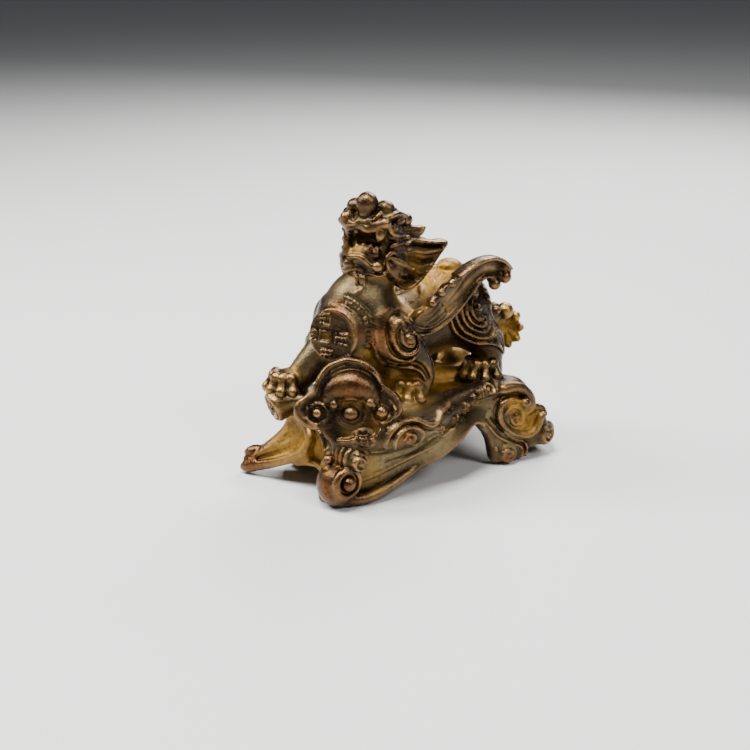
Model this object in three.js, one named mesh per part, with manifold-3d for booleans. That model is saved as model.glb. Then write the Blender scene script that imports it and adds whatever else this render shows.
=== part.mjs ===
// A small cast brass pixiu, a winged lion-dragon, striding over a ruyi sceptre whose head, stem and curls
// make an arched, footed base. Millimetres, +Z up. The beast faces -Y and its left side is +X.

import * as THREE from "three";
import { mergeVertices } from "three/addons/utils/BufferGeometryUtils.js";
import Module from "manifold-3d";

const wasm = await Module();
wasm.setup();

// Driving dimensions

const CENTRE = { x: 1.45, y: 2.12 }; // middle of the footprint in the modelling frame

const DECK = 17.3; // height of the deck under the paws
const WALL = 2.4; // wall of the hollow base
const ROOF = 13; // height of the hollow under the deck
const OUTLINE = [
  [7.4, -20.6], [10.4, -14.6], [11.8, -6], [12.2, 1], [11.6, 8], [11.8, 14], [11.8, 18.6], [8, 21.2],
  [1, 21.4], [-6, 22.6], [-10, 19.6], [-11.4, 11], [-11.6, 0], [-11.4, -12], [-11, -20], [-6, -21.6],
  [1, -20.8],
];
const FLARE_FRONT = [[17.3, 0], [14, 0.9], [10, 1.5], [7, 1.2], [4, 1.4], [0, 1.8]];
const FLARE_REAR = [[17.3, 0], [15, 2.2], [12.5, 4.2], [10.5, 5.2], [7, 5.6], [0, 5.2]];
const NEAR_ARCH = [
  [-20, 0], [-16, 0.8], [-10.4, 2.6], [-2.3, 6.2], [2.5, 9.4], [5.8, 11.2], [8, 10.6], [9.6, 8], [12.6, 0],
];
const FAR_ARCH = [[-15, 0], [-12, 3], [-6, 6.6], [0, 8.8], [5, 9], [8.6, 6.6], [11, 0]];
const FRONT_ARCH = [[-12, 0], [-8, 3], [-4, 4.6], [1, 5], [4, 3.6], [6, 0]];
const REAR_ARCH = [[-11, 0], [-8, 6], [-2, 9.6], [5, 9.6], [10, 9], [22, 9], [23, 0]];
const BOLSTER = { line: [[-1, 0.6, 16.6], [3.6, 9.2, 16.8], [6.4, 14.4, 16.6]], radii: [2.6, 2.8, 2.4] };

const TRUNK = { line: [[-0.6, -8, 29.6], [0, -2, 29], [0, 5, 30], [0, 13, 31.4]], radii: [8, 7.2, 7.8, 8.6] };
const CHEST = { at: [-0.6, -10.6, 31.2], radii: [8.4, 8.4, 8.8] };
const NECK = { line: [[0, -10.6, 35], [0.8, -9.6, 40.6], [1.4, -8, 46]], radii: [7.8, 5, 5] };
const COIN = { at: [2.4, -18.9, 32.4], yaw: 22, pitch: 8, radius: 5.5, thick: 3.4, rim: 0.8 };
const COLLAR = { at: [2, -13.6, 32.2], yaw: 34, radius: 7.7, tube: 0.8, from: 130, to: -60 };

const FORELEGS = [
  {
    shoulder: { at: [6, -6.2, 30.6], radii: [3.9, 5.4, 6], turn: [-16, 0, 8] },
    line: [[7, -4, 27.4], [8.4, -1.2, 24.4], [8.9, -0.6, 21], [8.9, -2, 19]],
    radii: [4.2, 3.2, 2.3, 2],
    paw: [8.7, -4.8, 17.3],
    spiral: { at: [9.5, -7, 31.4], azimuth: 78, radius: 4.2 },
  },
  {
    shoulder: { at: [-6, -9.6, 29.8], radii: [3.8, 5.4, 6], turn: [-24, 0, -8] },
    line: [[-6.4, -11.6, 28.4], [-7.4, -15.6, 25], [-8.6, -18.8, 21.8], [-9, -20, 19.8]],
    radii: [4, 3, 2.3, 2],
    paw: [-9.2, -21.8, 18.3],
  },
];
const HINDLEGS = [
  {
    shoulder: { at: [4.4, 12.8, 31.8], radii: [5.9, 8.2, 7.8], turn: [0, 0, 2] },
    line: [[7, 14.6, 28], [8.6, 18.4, 25], [9.2, 18.8, 21.4], [9.1, 17.8, 19.4]],
    radii: [4.4, 2.8, 2.2, 2.1],
    paw: [9, 15.4, 17.5],
    spiral: { at: [10.3, 12.6, 33.2], azimuth: 90, radius: 5.8 },
  },
  {
    shoulder: { at: [-4.4, 13.8, 31.4], radii: [5.9, 8.2, 7.6], turn: [0, 0, -2] },
    line: [[-7, 16.4, 27.4], [-8.4, 21, 24.4], [-8.8, 21.6, 21], [-8.6, 20.8, 19.2]],
    radii: [4.4, 2.8, 2.2, 2.1],
    paw: [-8.4, 18.2, 17.3],
  },
];
const PAW = { long: 3.9, wide: 3.2, high: 2.9, toe: 1.45 };

const HEAD = { at: [1.3, -7.8, 48.6], yaw: 25 };
const EAR = {
  outline: [[-3, 2], [1.6, 3.6], [6.9, 2.4], [10.9, 1.5], [10.4, 0.2], [7.5, -2.5], [4.4, -5.5], [1.6, -7], [-1.4, -5.8],
    [-3.4, -2]],
  at: [5.4, -3.9, 46],
  azimuth: 84,
};
const HORN = { outline: [[-2.6, 4.4], [0.6, 5.6], [5.6, 5.2], [4.4, 3.4], [0.4, 2.6], [-2.4, 3]] };

const WING = {
  outline: [
    [-6, 32.2], [-4.4, 36.4], [-2, 38.2], [0.9, 39.8], [4.5, 42.3], [8.4, 44.2], [12.7, 44.6], [17, 43], [20.2, 40],
    [19.4, 38.4], [17.4, 37.2], [15.9, 37], [14.2, 38.8], [12, 39.8], [9.9, 38.5], [7, 34.8], [4, 32], [0, 30.2],
    [-4, 30],
  ],
  x: 7.9,
  base: 30,
  lean: 0.2,
  thick: 2.4,
  bevel: 0.5,
};

const TAIL = {
  fan: { at: [2.2, 28.8, 23.8], azimuth: 62, radius: 4.4, thick: 2.4 },
  balls: [[[2.6, 27.2, 28], 2.2], [[5.2, 27.4, 27.4], 1.5]],
};

const REAR_TONGUE = {
  outline: [
    [15, 15.4], [19.6, 14.6], [22, 11.4], [24.4, 8], [27, 6.4], [29.6, 5.8], [31.2, 3.6], [30.4, 1.2], [28, 0.6],
    [25.4, 2.4], [22.8, 5.4], [20, 9.4], [16, 11.4],
  ],
  x: 15.8,
  wide: 9,
};

const PLAQUE = {
  at: [8.8, -20.4, 20.2],
  azimuth: 50,
  tilt: 18,
  outline: [
    [0.1, 10], [4.6, 8.4], [6.8, 4.8], [8.8, 2.6], [10.3, -0.2], [9, -3], [6, -4.2], [0.2, -4.6], [-4.3, -4.6],
    [-8.4, -4.4], [-10.6, -1.6], [-9.8, 0.9], [-7, 3.2], [-6, 6], [-4, 8.6],
  ],
  thick: 2.4,
  bevel: 0.6,
  sunk: 0.6,
};

const STEM = {
  line: [[9, -16.4, 13.4], [12, -11.6, 12.4], [13.2, -4, 12.8], [13.2, 4, 14.6], [12.9, 11, 16], [13.2, 18, 16.2],
    [13.6, 22.2, 14]],
  radii: [3, 3.1, 3, 2.6, 2.1, 2.1, 1.8],
};

const BEAD_SIDES = 6; // a ball with no more sides than this is a bead
const BEAD_SWELL = 1.08; // corners stand this far out, so that a bead's faces lie about on the true ball

// Geometry helpers

const vec = (p) => new THREE.Vector3(...p);
const rad = THREE.MathUtils.degToRad;
const lerp = THREE.MathUtils.lerp;

/** A closed three.js geometry as a solid that can be joined and cut. */
function solid(geometry) {
  const bare = geometry.clone();
  bare.deleteAttribute("normal");
  bare.deleteAttribute("uv");
  const merged = mergeVertices(bare, 1e-4);
  return new wasm.Manifold(
    new wasm.Mesh({
      numProp: 3,
      vertProperties: new Float32Array(merged.attributes.position.array),
      triVerts: new Uint32Array(merged.index.array),
    }),
  );
}

const join = (...parts) => wasm.Manifold.union(parts.flat(Infinity));

/** The same geometry with its faces turned the other way, after a mirroring. */
function turnedInsideOut(geometry) {
  const g = geometry.index ? geometry.toNonIndexed() : geometry;
  const p = g.attributes.position;
  for (let i = 0; i < p.count; i += 3) {
    const first = [p.getX(i), p.getY(i), p.getZ(i)];
    p.setXYZ(i, p.getX(i + 1), p.getY(i + 1), p.getZ(i + 1));
    p.setXYZ(i + 1, ...first);
  }
  return g;
}

/** The direction that faces out at an azimuth from -Y towards +X, tilted up. */
function facing(azimuth, tilt = 0) {
  const a = rad(azimuth);
  const t = rad(tilt);
  return new THREE.Vector3(Math.sin(a) * Math.cos(t), -Math.cos(a) * Math.cos(t), Math.sin(t));
}

/** Moves a geometry drawn in its own XY plane, +Z out, to face an azimuth and tilt at a point. */
function placed(geometry, at, azimuth, tilt = 0, roll = 0) {
  const out = facing(azimuth, tilt);
  const right = new THREE.Vector3(Math.cos(rad(azimuth)), Math.sin(rad(azimuth)), 0);
  const up = new THREE.Vector3().crossVectors(out, right);
  const m = new THREE.Matrix4().makeBasis(right, up, out).setPosition(...at);
  return geometry.rotateZ(rad(roll)).applyMatrix4(m);
}

/** The same for single points of a flat figure. */
function placedPoint([x, y, z = 0], at, azimuth, tilt = 0) {
  const out = facing(azimuth, tilt);
  const right = new THREE.Vector3(Math.cos(rad(azimuth)), Math.sin(rad(azimuth)), 0);
  const up = new THREE.Vector3().crossVectors(out, right);
  return vec(at).addScaledVector(right, x).addScaledVector(up, y).addScaledVector(out, z).toArray();
}

/** Moves a geometry drawn as [y, z] in its own XY plane into the side plane at an x. */
const inSidePlane = (geometry, x) => geometry.translate(0, 0, x)
  .applyMatrix4(new THREE.Matrix4().makeBasis(vec([0, 1, 0]), vec([0, 0, 1]), vec([1, 0, 0])));

/** An ellipsoid, or with few sides around a bead of twenty faces. */
function ball(at, radii, turn = [0, 0, 0], around = 12) {
  const r = Array.isArray(radii) ? radii : [radii, radii, radii];
  const g = around > BEAD_SIDES
    ? new THREE.SphereGeometry(1, around, Math.round(around / 2))
    : new THREE.IcosahedronGeometry(BEAD_SWELL, 0);
  g.rotateX(Math.PI / 2).scale(...r);
  g.rotateX(rad(turn[0])).rotateY(rad(turn[1])).rotateZ(rad(turn[2]));
  g.translate(...at);
  return solid(g);
}

/** A round-ended limb whose thickness follows radii along a smooth line. */
function limb(line, radii, sides = 8, steps = 6) {
  const curve = new THREE.CatmullRomCurve3(line.map(vec), false, "centripetal");
  const g = new THREE.CapsuleGeometry(1, 1, sides > 6 ? 2 : 1, sides, steps);
  const frames = curve.computeFrenetFrames(steps, false);
  const p = g.attributes.position;
  for (let i = 0; i < p.count; i++) {
    const t = THREE.MathUtils.clamp(p.getY(i) + 0.5, 0, 1);
    const over = p.getY(i) + 0.5 - t;
    const k = Math.round(t * steps);
    const at = (radii.length - 1) * t;
    const low = Math.min(Math.floor(at), radii.length - 2);
    const r = lerp(radii[low], radii[low + 1], at - low);
    const v = curve.getPointAt(k / steps)
      .addScaledVector(frames.tangents[k], over * r)
      .addScaledVector(frames.normals[k], p.getX(i) * r)
      .addScaledVector(frames.binormals[k], -p.getZ(i) * r);
    p.setXYZ(i, v.x, v.y, v.z);
  }
  return solid(g);
}

/** A raised line of one thickness. */
const ridge = (line, r, steps = 8) => limb(line, [r, r], 4, steps);

/** Points of a flat spiral from its outer end to its eye. */
function spiralLine({ radius, eye, turns, start, hand, steps }) {
  return Array.from({ length: steps + 1 }, (_, i) => {
    const t = i / steps;
    const a = rad(start + hand * 360 * turns * t);
    const r = lerp(radius, eye, t);
    return [r * Math.cos(a), r * Math.sin(a)];
  });
}

/** A spiral ridge with a ball in its eye on a surface that faces an azimuth. */
function spiral(at, azimuth, tilt, options, r = 0.7) {
  const line = spiralLine(options).map(([x, y]) => placedPoint([x, y, -(x * x + y * y) * (options.dome ?? 0)],
    at, azimuth, tilt));
  return [ridge(line, r, options.steps), ball(at, options.eye, [0, 0, 0], 6)];
}

/** A small scroll on the base: one turn of ridge around a ball. */
const curl = (at, azimuth, tilt, radius) =>
  spiral(at, azimuth, tilt, { radius, eye: 0.9, turns: 0.9, start: 60, hand: -1, steps: 7 }, 0.65);

/** A flat shape from smooth outline points. */
function smoothShape(points, divisions) {
  const curve = new THREE.SplineCurve([...points, points[0]].map((p) => new THREE.Vector2(...p)));
  const outline = curve.getPoints(divisions).slice(0, -1);
  return new THREE.Shape(outline);
}

/** A plate with bevelled edges, front face at z = 0 of its own plane and its body behind. */
function plate(points, thick, bevel, divisions) {
  const g = new THREE.ExtrudeGeometry(smoothShape(points, divisions), {
    depth: thick - bevel,
    bevelEnabled: bevel > 0,
    bevelThickness: bevel,
    bevelSize: bevel,
    bevelOffset: -bevel,
    bevelSegments: 1,
    curveSegments: 1,
  });
  return g.translate(0, 0, bevel - thick);
}

/** A value read off a table of [key, value] rows with falling or rising keys. */
function table(rows, key) {
  const up = rows[0][0] < rows[rows.length - 1][0] ? rows : [...rows].reverse();
  if (key <= up[0][0]) return up[0][1];
  for (let i = 1; i < up.length; i++)
    if (key <= up[i][0])
      return lerp(up[i - 1][1], up[i][1], (key - up[i - 1][0]) / (up[i][0] - up[i - 1][0]));
  return up[up.length - 1][1];
}

/** How far the base has spread outside the deck outline at a height. */
function flare(y, z) {
  const rear = THREE.MathUtils.smoothstep(y, -14, 6);
  return lerp(table(FLARE_FRONT, z), table(FLARE_REAR, z), rear);
}

/** The spreading body of the base through a list of heights, moved in by an inset. */
function skirt(inset, divisions, levels) {
  const g = new THREE.ExtrudeGeometry(smoothShape(OUTLINE, divisions), {
    depth: levels.length - 1,
    steps: levels.length - 1,
    bevelEnabled: false,
    curveSegments: 1,
  });
  const p = g.attributes.position;
  const spine = 13;
  for (let i = 0; i < p.count; i++) {
    const x = p.getX(i);
    const y = p.getY(i);
    const z = levels[Math.round(p.getZ(i))];
    const away = new THREE.Vector2(x, y - THREE.MathUtils.clamp(y, -spine, spine)).normalize();
    const out = flare(y, z) - inset;
    p.setXYZ(i, x + away.x * out, y + away.y * out, z);
  }
  return solid(g);
}

/** A cutter through the base along X or Y under a curved lower edge. */
function archCutter(edge, along, from, to) {
  const shape = new THREE.Shape();
  shape.moveTo(edge[0][0], -1);
  shape.splineThru(edge.map((p) => new THREE.Vector2(...p)));
  shape.lineTo(edge[edge.length - 1][0], -1);
  shape.closePath();
  const g = new THREE.ExtrudeGeometry(shape, { depth: to - from, bevelEnabled: false, curveSegments: 2 });
  g.translate(0, 0, from);
  if (along === "x") g.applyMatrix4(new THREE.Matrix4().makeBasis(vec([0, 1, 0]), vec([0, 0, 1]), vec([1, 0, 0])));
  else g.applyMatrix4(new THREE.Matrix4().makeBasis(vec([-1, 0, 0]), vec([0, 0, 1]), vec([0, 1, 0])));
  return solid(g);
}

// Base

function base() {
  const acrossX = (edge) => edge.map(([x, z]) => [-x, z]).reverse();
  return skirt(0, 28, [0, 5, 10, 13.6, DECK])
    .subtract(skirt(WALL, 18, [-1, 6, 10, ROOF]))
    .subtract(archCutter(NEAR_ARCH, "x", 6, 30))
    .subtract(archCutter(FAR_ARCH, "x", -30, -6))
    .subtract(archCutter(acrossX(FRONT_ARCH), "y", -40, -14))
    .subtract(archCutter(acrossX(REAR_ARCH), "y", 17, 40));
}

function plaque() {
  const { at, azimuth, tilt, outline, thick, bevel, sunk } = PLAQUE;
  const onPlaque = (p) => placedPoint(p, at, azimuth, tilt);
  const arc = (radius, from, to, cx, cy, z, steps) => Array.from({ length: steps + 1 }, (_, i) => {
    const a = rad(lerp(from, to, i / steps));
    return onPlaque([cx + radius * Math.cos(a), cy + radius * Math.sin(a), z]);
  });
  const inside = outline.map(([x, y]) => [x * 0.86, 1.4 + (y - 1.4) * 0.84]);
  const field = placed(plate(inside, 4, 0, 14).translate(0, 0, 4 - sunk), at, azimuth, tilt);
  return join(
    solid(placed(plate(outline, thick, bevel, 18), at, azimuth, tilt)).subtract(solid(field)),
    limb(arc(4.3, 180, 0, 0.3, 0.4, 0, 8), [1, 2, 2.2, 2, 1], 6, 6),
    [[0.3, -1.6, -0.4, 1.8], [-6.3, -1.4, 0, 1.1], [6.5, -1.8, 0, 1.1]].map(([x, y, z, r]) =>
      ball(onPlaque([x, y, z]), r, [0, 0, 0], 6)),
    ball([6.8, -17.8, 14.6], [5, 5, 6.6], [0, 0, 0], 10),
  );
}

function stem() {
  return [limb(STEM.line, STEM.radii, 7, 8), curl([14.6, -9.6, 12.8], 74, 6, 2.4)];
}

function feet() {
  return [
    limb([[-8, -18.6, 11], [-10, -22.4, 6], [-12.8, -26.2, 2.6], [-15.2, -28.6, 0.8]], [3.2, 2.8, 2.4, 1.2], 6, 3),
    limb([[-5, -19.6, 10], [-6.4, -22.4, 6], [-9.6, -25.4, 2.8], [-14.4, -28.2, 1]], [3, 2.4, 2, 1], 6, 3),
    ridge([[-6, -21.4, 9.6], [-3.8, -22.4, 8], [-4.6, -24, 5], [-9, -26.6, 2], [-14.6, -28.8, 0.9]], 0.9, 5),
    ball([-14.4, -26.6, 3.8], [1.7, 1.2, 1.1], [0, 0, 30], 6),
    limb([[-9.6, -23.6, 16.2], [-10.6, -12, 15.8]], [2.6, 2], 8, 1),
    limb([[7, -18.6, 11], [8.2, -22.4, 6], [8.4, -24.6, 1.4]], [3.6, 3.2, 1.8], 8, 2),
    limb([[7, -23.4, 5], [10.8, -23.4, 5]], [3, 2.9], 9, 1),
    ball([12.8, -23.4, 5.2], 1.2, [0, 0, 0], 6),
    limb([[8, -21.6, 9.6], [10.4, -22, 9.4]], [2, 1.8], 7, 1),
    limb([[13.4, 14.6, 11], [16, 16, 5], [16.2, 16.6, 1]], [2.6, 2.8, 1.6], 7, 2),
    curl([18.2, 15.4, 4], 62, 4, 2.4),
    curl([17, 17.4, 10.8], 66, 8, 2.4),
    ball([15.4, 21, 13], 1.6, [0, 0, 0], 6),
    solid(inSidePlane(plate(REAR_TONGUE.outline, REAR_TONGUE.wide, 0.6, 20), REAR_TONGUE.x)),
    ball([REAR_TONGUE.x, 28.3, 3.5], 1.2, [0, 0, 0], 6),
    limb([[-12, 14, 10], [-14.4, 15.4, 5], [-15, 16, 1]], [2.6, 2.8, 1.6], 7, 2),
  ];
}

// Beast

function paw([x, y, z]) {
  const row = (ahead, high, spread, r) => spread.map((s) =>
    ball([x + s * PAW.wide, y - ahead + s * s, z + high], [r * 0.75, r * 1.3, r * 1.1], [0, 0, 0], 6));
  return [
    ball([x, y, z + 0.8], [PAW.wide, PAW.long, PAW.high], [0, 0, 0], 8),
    row(PAW.long * 0.8, 1.3, [-0.78, -0.26, 0.26, 0.78], PAW.toe),
  ];
}

function leg({ shoulder, line, radii, paw: at, spiral: s }) {
  const turns = { eye: 1.2, start: -70, hand: 1, turns: 1.1, dome: 0.035, steps: 9, ...s };
  return [
    ball(shoulder.at, shoulder.radii, shoulder.turn, 10),
    limb(line, radii, 7, 3),
    paw(at),
    s ? spiral(s.at, s.azimuth, 6, turns, 0.8) : [],
  ];
}

function coin() {
  const { at, yaw, pitch, radius, thick, rim } = COIN;
  const profile = [
    [0, -thick], [radius, -thick], [radius, 0.3], [radius - rim, 0.3], [radius - rim, 0], [0, 0],
  ].map((p) => new THREE.Vector2(...p));
  const disc = new THREE.LatheGeometry(profile, 16).rotateX(Math.PI / 2);
  const collar = Array.from({ length: 7 }, (_, i) => {
    const a = rad(lerp(COLLAR.from, COLLAR.to, i / 6));
    return placedPoint([COLLAR.radius * Math.cos(a), COLLAR.radius * Math.sin(a)], COLLAR.at, COLLAR.yaw, pitch);
  });
  const square = new THREE.TorusGeometry(1.5, 0.3, 4, 4).rotateZ(Math.PI / 4);
  return [
    solid(placed(disc, at, yaw, pitch)),
    ridge(collar, COLLAR.tube, 7),
    solid(placed(square, at, yaw, pitch)),
  ];
}

/** A wing blade in the side plane, leaning out as it rises, on one side. */
function wing(side) {
  const g = plate(WING.outline, WING.thick, WING.bevel, 23);
  inSidePlane(g, WING.thick / 2);
  const p = g.attributes.position;
  for (let i = 0; i < p.count; i++)
    p.setX(i, side * (p.getX(i) + WING.x + WING.lean * (p.getZ(i) - WING.base)));
  return solid(side < 0 ? turnedInsideOut(g) : g);
}

/** A point of the head from its sideways, forward and upward distances. */
function headPoint([l, f, u]) {
  const a = rad(HEAD.yaw);
  return [
    HEAD.at[0] + l * Math.cos(a) + f * Math.sin(a),
    HEAD.at[1] + l * Math.sin(a) - f * Math.cos(a),
    HEAD.at[2] + u,
  ];
}

function headSide(s) {
  const bump = (p, r, around = 6) => ball(headPoint([s * p[0], p[1], p[2]]), r, [0, 0, HEAD.yaw], around);
  const line = (points, radii, sides, steps) =>
    limb(points.map(([l, f, u]) => headPoint([s * l, f, u])), radii, sides, steps);
  return [
    bump([3.1, 4.9, 5.6], [1.5, 1.7, 1.3]),
    bump([2.4, 2, 7], [2, 2.1, 1.5]),
    bump([4.5, -1, 4.6], [1.8, 2.5, 1.9]),
    bump([3.3, 5, -3.4], 1.5),
    line([[0, 5.4, 3.4], [2.4, 4.6, 4.4], [4.4, 3, 3.4], [5, 2.4, 0.6], [4.6, 4, -2.4]], [0.9, 0.8, 0.8], 4, 4),
    line([[4.8, 3.8, -1], [5, 4, -3.6], [5.2, 1.4, -6.8], [4.8, -2, -8.4]], [0.8, 1.1, 0.9], 4, 3),
    bump([4.8, -0.6, -3], [1.7, 3.2, 3.2], 8),
  ];
}

function ears() {
  const { outline, at, azimuth } = EAR;
  const fin = (points, divisions, out) => {
    const g = placed(plate(points, 1.6, 0, divisions), at, azimuth);
    return solid(g.translate(out, 0, 0));
  };
  const near = join(fin(outline, 11, 0), fin(HORN.outline, 5, -0.5));
  const a = rad(HEAD.yaw);
  return [near, near.translate(-HEAD.at[0], -HEAD.at[1], 0).mirror([Math.cos(a), Math.sin(a), 0])
    .translate(HEAD.at[0], HEAD.at[1], 0)];
}

function head() {
  const at = headPoint;
  const bump = (p, r, around = 10) => ball(at(p), r, [0, 0, HEAD.yaw], around);
  const line = (points, radii, sides = 6, steps = 6) => limb(points.map(at), radii, sides, steps);
  const skull = join(
    bump([0, -1.6, 1], [5.6, 5.4, 5.8], 9),
    bump([0, 1.6, 4.8], [4.4, 4.6, 2.4], 8),
    bump([0, 1.8, -4], [4.6, 4.6, 2.2], 8),
  );
  return join(
    skull.subtract(bump([0, 6.4, 0.4], [4, 5, 3.1], 8)),
    bump([0, 3.6, 8.3], 2.1, 8),
    line([[0, 3.8, 7.6], [0, 4.6, 4.8]], [1.5, 1.2], 6, 1),
    line([[0, 5, -4.4], [0, 6.2, -6.4], [-0.2, 6.4, -8]], [1.4, 1, 0.5], 5, 2),
    headSide(-1), headSide(1), ears(),
  );
}

function tail() {
  const { fan, balls } = TAIL;
  const lobes = 7;
  const edge = Array.from({ length: lobes * 2 }, (_, i) => {
    const a = (i / (lobes * 2)) * 2 * Math.PI;
    const r = fan.radius * (i % 2 ? 0.9 : 1.04);
    return [r * Math.cos(a), r * Math.sin(a)];
  });
  return [
    limb([[0, 17, 30], [0.6, 22.6, 28], [1.4, 26.4, 25.4]], [5, 3.8, 3], 7, 2),
    solid(placed(plate(edge, fan.thick, 0.4, lobes * 2), fan.at, fan.azimuth, 10)),
    balls.map(([at, r]) => ball(at, r, [0, 0, 0], 7)),
  ];
}

function statue() {
  const trunk = [
    limb(TRUNK.line, TRUNK.radii, 9, 3),
    ball(CHEST.at, CHEST.radii, [0, 0, 0], 11),
    limb(NECK.line, NECK.radii, 8, 3),
    ball([0, 13.4, 40.2], [2.2, 2.4, 1.8], [0, 0, 0], 6),
  ];
  return join(
    base(), plaque(), stem(), feet(), limb(BOLSTER.line, BOLSTER.radii, 7, 1),
    trunk, coin(), FORELEGS.map(leg), HINDLEGS.map(leg), wing(1), wing(-1), head(), tail(),
  );
}

/** The solid as a named mesh. */
function shown(s, name) {
  const m = s.getMesh();
  const g = new THREE.BufferGeometry();
  g.setAttribute("position", new THREE.BufferAttribute(new Float32Array(m.vertProperties), 3));
  g.setIndex(new THREE.BufferAttribute(m.triVerts, 1));
  const brass = new THREE.MeshStandardMaterial({ color: 0x6b4a2b, roughness: 0.45, metalness: 0.9 });
  const mesh = new THREE.Mesh(g, brass);
  mesh.name = name;
  return mesh;
}

const flatUnder = solid(new THREE.BoxGeometry(80, 80, 20).translate(0, 0, -10));
const group = new THREE.Group();
group.add(shown(statue().subtract(flatUnder), "pixiu_statue"));
group.position.set(-CENTRE.x, -CENTRE.y, 0);
export default group;
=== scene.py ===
import math
from collections import namedtuple

import bpy
import numpy as np
from mathutils import Matrix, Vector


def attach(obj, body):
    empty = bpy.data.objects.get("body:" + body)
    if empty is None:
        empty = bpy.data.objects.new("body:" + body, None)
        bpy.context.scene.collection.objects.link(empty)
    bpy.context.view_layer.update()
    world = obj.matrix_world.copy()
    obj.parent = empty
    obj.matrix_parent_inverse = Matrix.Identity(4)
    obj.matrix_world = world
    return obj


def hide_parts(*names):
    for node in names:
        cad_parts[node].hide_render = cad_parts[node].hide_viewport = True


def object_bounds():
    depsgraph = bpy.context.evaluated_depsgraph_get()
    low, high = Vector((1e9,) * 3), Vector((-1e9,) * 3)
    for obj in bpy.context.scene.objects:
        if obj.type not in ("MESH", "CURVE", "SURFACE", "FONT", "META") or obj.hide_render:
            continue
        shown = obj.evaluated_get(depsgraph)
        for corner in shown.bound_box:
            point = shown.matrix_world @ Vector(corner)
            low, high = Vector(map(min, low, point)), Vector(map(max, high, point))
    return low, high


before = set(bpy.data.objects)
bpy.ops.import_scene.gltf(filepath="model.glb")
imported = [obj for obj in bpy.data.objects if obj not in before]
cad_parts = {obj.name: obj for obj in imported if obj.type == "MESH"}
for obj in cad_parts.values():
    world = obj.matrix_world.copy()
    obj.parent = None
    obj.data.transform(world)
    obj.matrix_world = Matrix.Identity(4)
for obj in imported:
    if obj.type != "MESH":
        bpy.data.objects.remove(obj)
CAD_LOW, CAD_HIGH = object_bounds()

bl_info = {
    "name": "Brass pixiu statue",
    "version": (1, 0, 0),
    "blender": (4, 5, 0),
    "location": "View3D > Sidebar > Pixiu",
    "description": "Carves the cast brass pixiu on its ruyi base, and sets it in a plain studio",
    "category": "Add Mesh",
}

MM = 0.001
CENTRE = np.array([1.45, 2.12, 0.0])  # middle of the footprint in the carver's frame, millimetres
VOXEL = 0.24  # grid of the carving block, in millimetres
MARGIN = 1.2  # room round the solid in the block, in millimetres
FOOT = 1.5  # the feet are cut flat on the floor within this height
FAR = 4.0  # distances are kept only this far from a surface, in millimetres
NEAR = 1.4  # relief moves the surface only where it lies within this distance
NODE = "pixiu_statue"

Form = namedtuple("Form", "distance low high")


# Points, directions and lines

def facing(azimuth, tilt=0.0):
    """The direction that faces out at an azimuth from -Y towards +X, tilted up."""
    a, t = math.radians(azimuth), math.radians(tilt)
    return np.array([math.sin(a) * math.cos(t), -math.cos(a) * math.cos(t), math.sin(t)])


class Plane:
    """A carver's working plane: u to the right and v up in it, w out of it."""

    def __init__(self, at, azimuth, tilt=0.0, roll=0.0):
        self.at = np.array(at, float)
        self.out = facing(azimuth, tilt)
        a = math.radians(azimuth)
        right = np.array([math.cos(a), math.sin(a), 0.0])
        up = np.cross(self.out, right)
        c, s = math.cos(math.radians(roll)), math.sin(math.radians(roll))
        self.right = c * right + s * up
        self.up = c * up - s * right

    def point(self, u, v, w=0.0):
        return self.at + u * self.right + v * self.up + w * self.out

    def line(self, points, w=0.0):
        return [self.point(p[0], p[1], p[2] if len(p) > 2 else w) for p in points]

    def coordinates(self, x, y, z):
        away = (x - self.at[0], y - self.at[1], z - self.at[2])
        ways = (self.right, self.up, self.out)
        return tuple(sum(a * share for a, share in zip(away, way) if abs(share) > 1e-6) for way in ways)


def smooth(points, steps=4, closed=False):
    """More points along a smooth curve through the given ones, which may hold a radius too."""
    p = np.array(points, float)
    ends = (p[-1:], p[:2]) if closed else (2 * p[:1] - p[1:2], 2 * p[-1:] - p[-2:-1])
    p = np.vstack([ends[0], p, ends[1]])
    made = []
    for i in range(1, len(p) - 2):
        a, b, c, d = p[i - 1:i + 3]
        for k in range(steps):
            t = k / steps
            made.append(0.5 * (2 * b + (c - a) * t + (2 * a - 5 * b + 4 * c - d) * t * t
                               + (3 * b - a - 3 * c + d) * t ** 3))
    if not closed:
        made.append(p[-2])
    return np.array(made)


def whorl(centre, radius, eye, start, turns, hand=1, steps=14):
    """A flat spiral from its outer end to its eye."""
    n = max(4, int(abs(turns) * steps))
    made = []
    for i in range(n + 1):
        t = i / n
        a = math.radians(start) + hand * 2 * math.pi * turns * t
        r = radius + (eye - radius) * t
        made.append([centre[0] + r * math.cos(a), centre[1] + r * math.sin(a)])
    return np.array(made)


def circle(radius, steps=14, centre=(0, 0)):
    """The closed line of a circle, as straight steps."""
    return whorl(centre, radius, radius, 0, 1, steps=steps)


def arc(centre, radius, start, end, steps):
    """An arc of a circle."""
    angles = np.radians(np.linspace(start, end, steps + 1))
    return np.column_stack([centre[0] + radius * np.cos(angles), centre[1] + radius * np.sin(angles)])


def flipped(points, hand):
    """Flat points, mirrored from left to right when the hand is -1."""
    return [[hand * p[0], p[1]] for p in points]


# Distances

def along_line(points, line):
    """The distance of flat points to a line, and how far along it from 0 to 1 the nearest place is."""
    line = np.asarray(line, float)
    best = None
    last = len(line) - 1
    for i in range(last):
        a, b = line[i], line[i + 1]
        d = b - a
        size = max(float(d @ d), 1e-9)
        rel = [p - q for p, q in zip(points, a)]
        t = np.clip(sum(r * q for r, q in zip(rel, d)) / size, 0, 1)
        away = sum((r - t * q) ** 2 for r, q in zip(rel, d))
        if best is None:
            best, place = away, (i + t) / last
        else:
            nearer = away < best
            best = np.where(nearer, away, best)
            place = np.where(nearer, (i + t) / last, place)
    return np.sqrt(best), place


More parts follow.
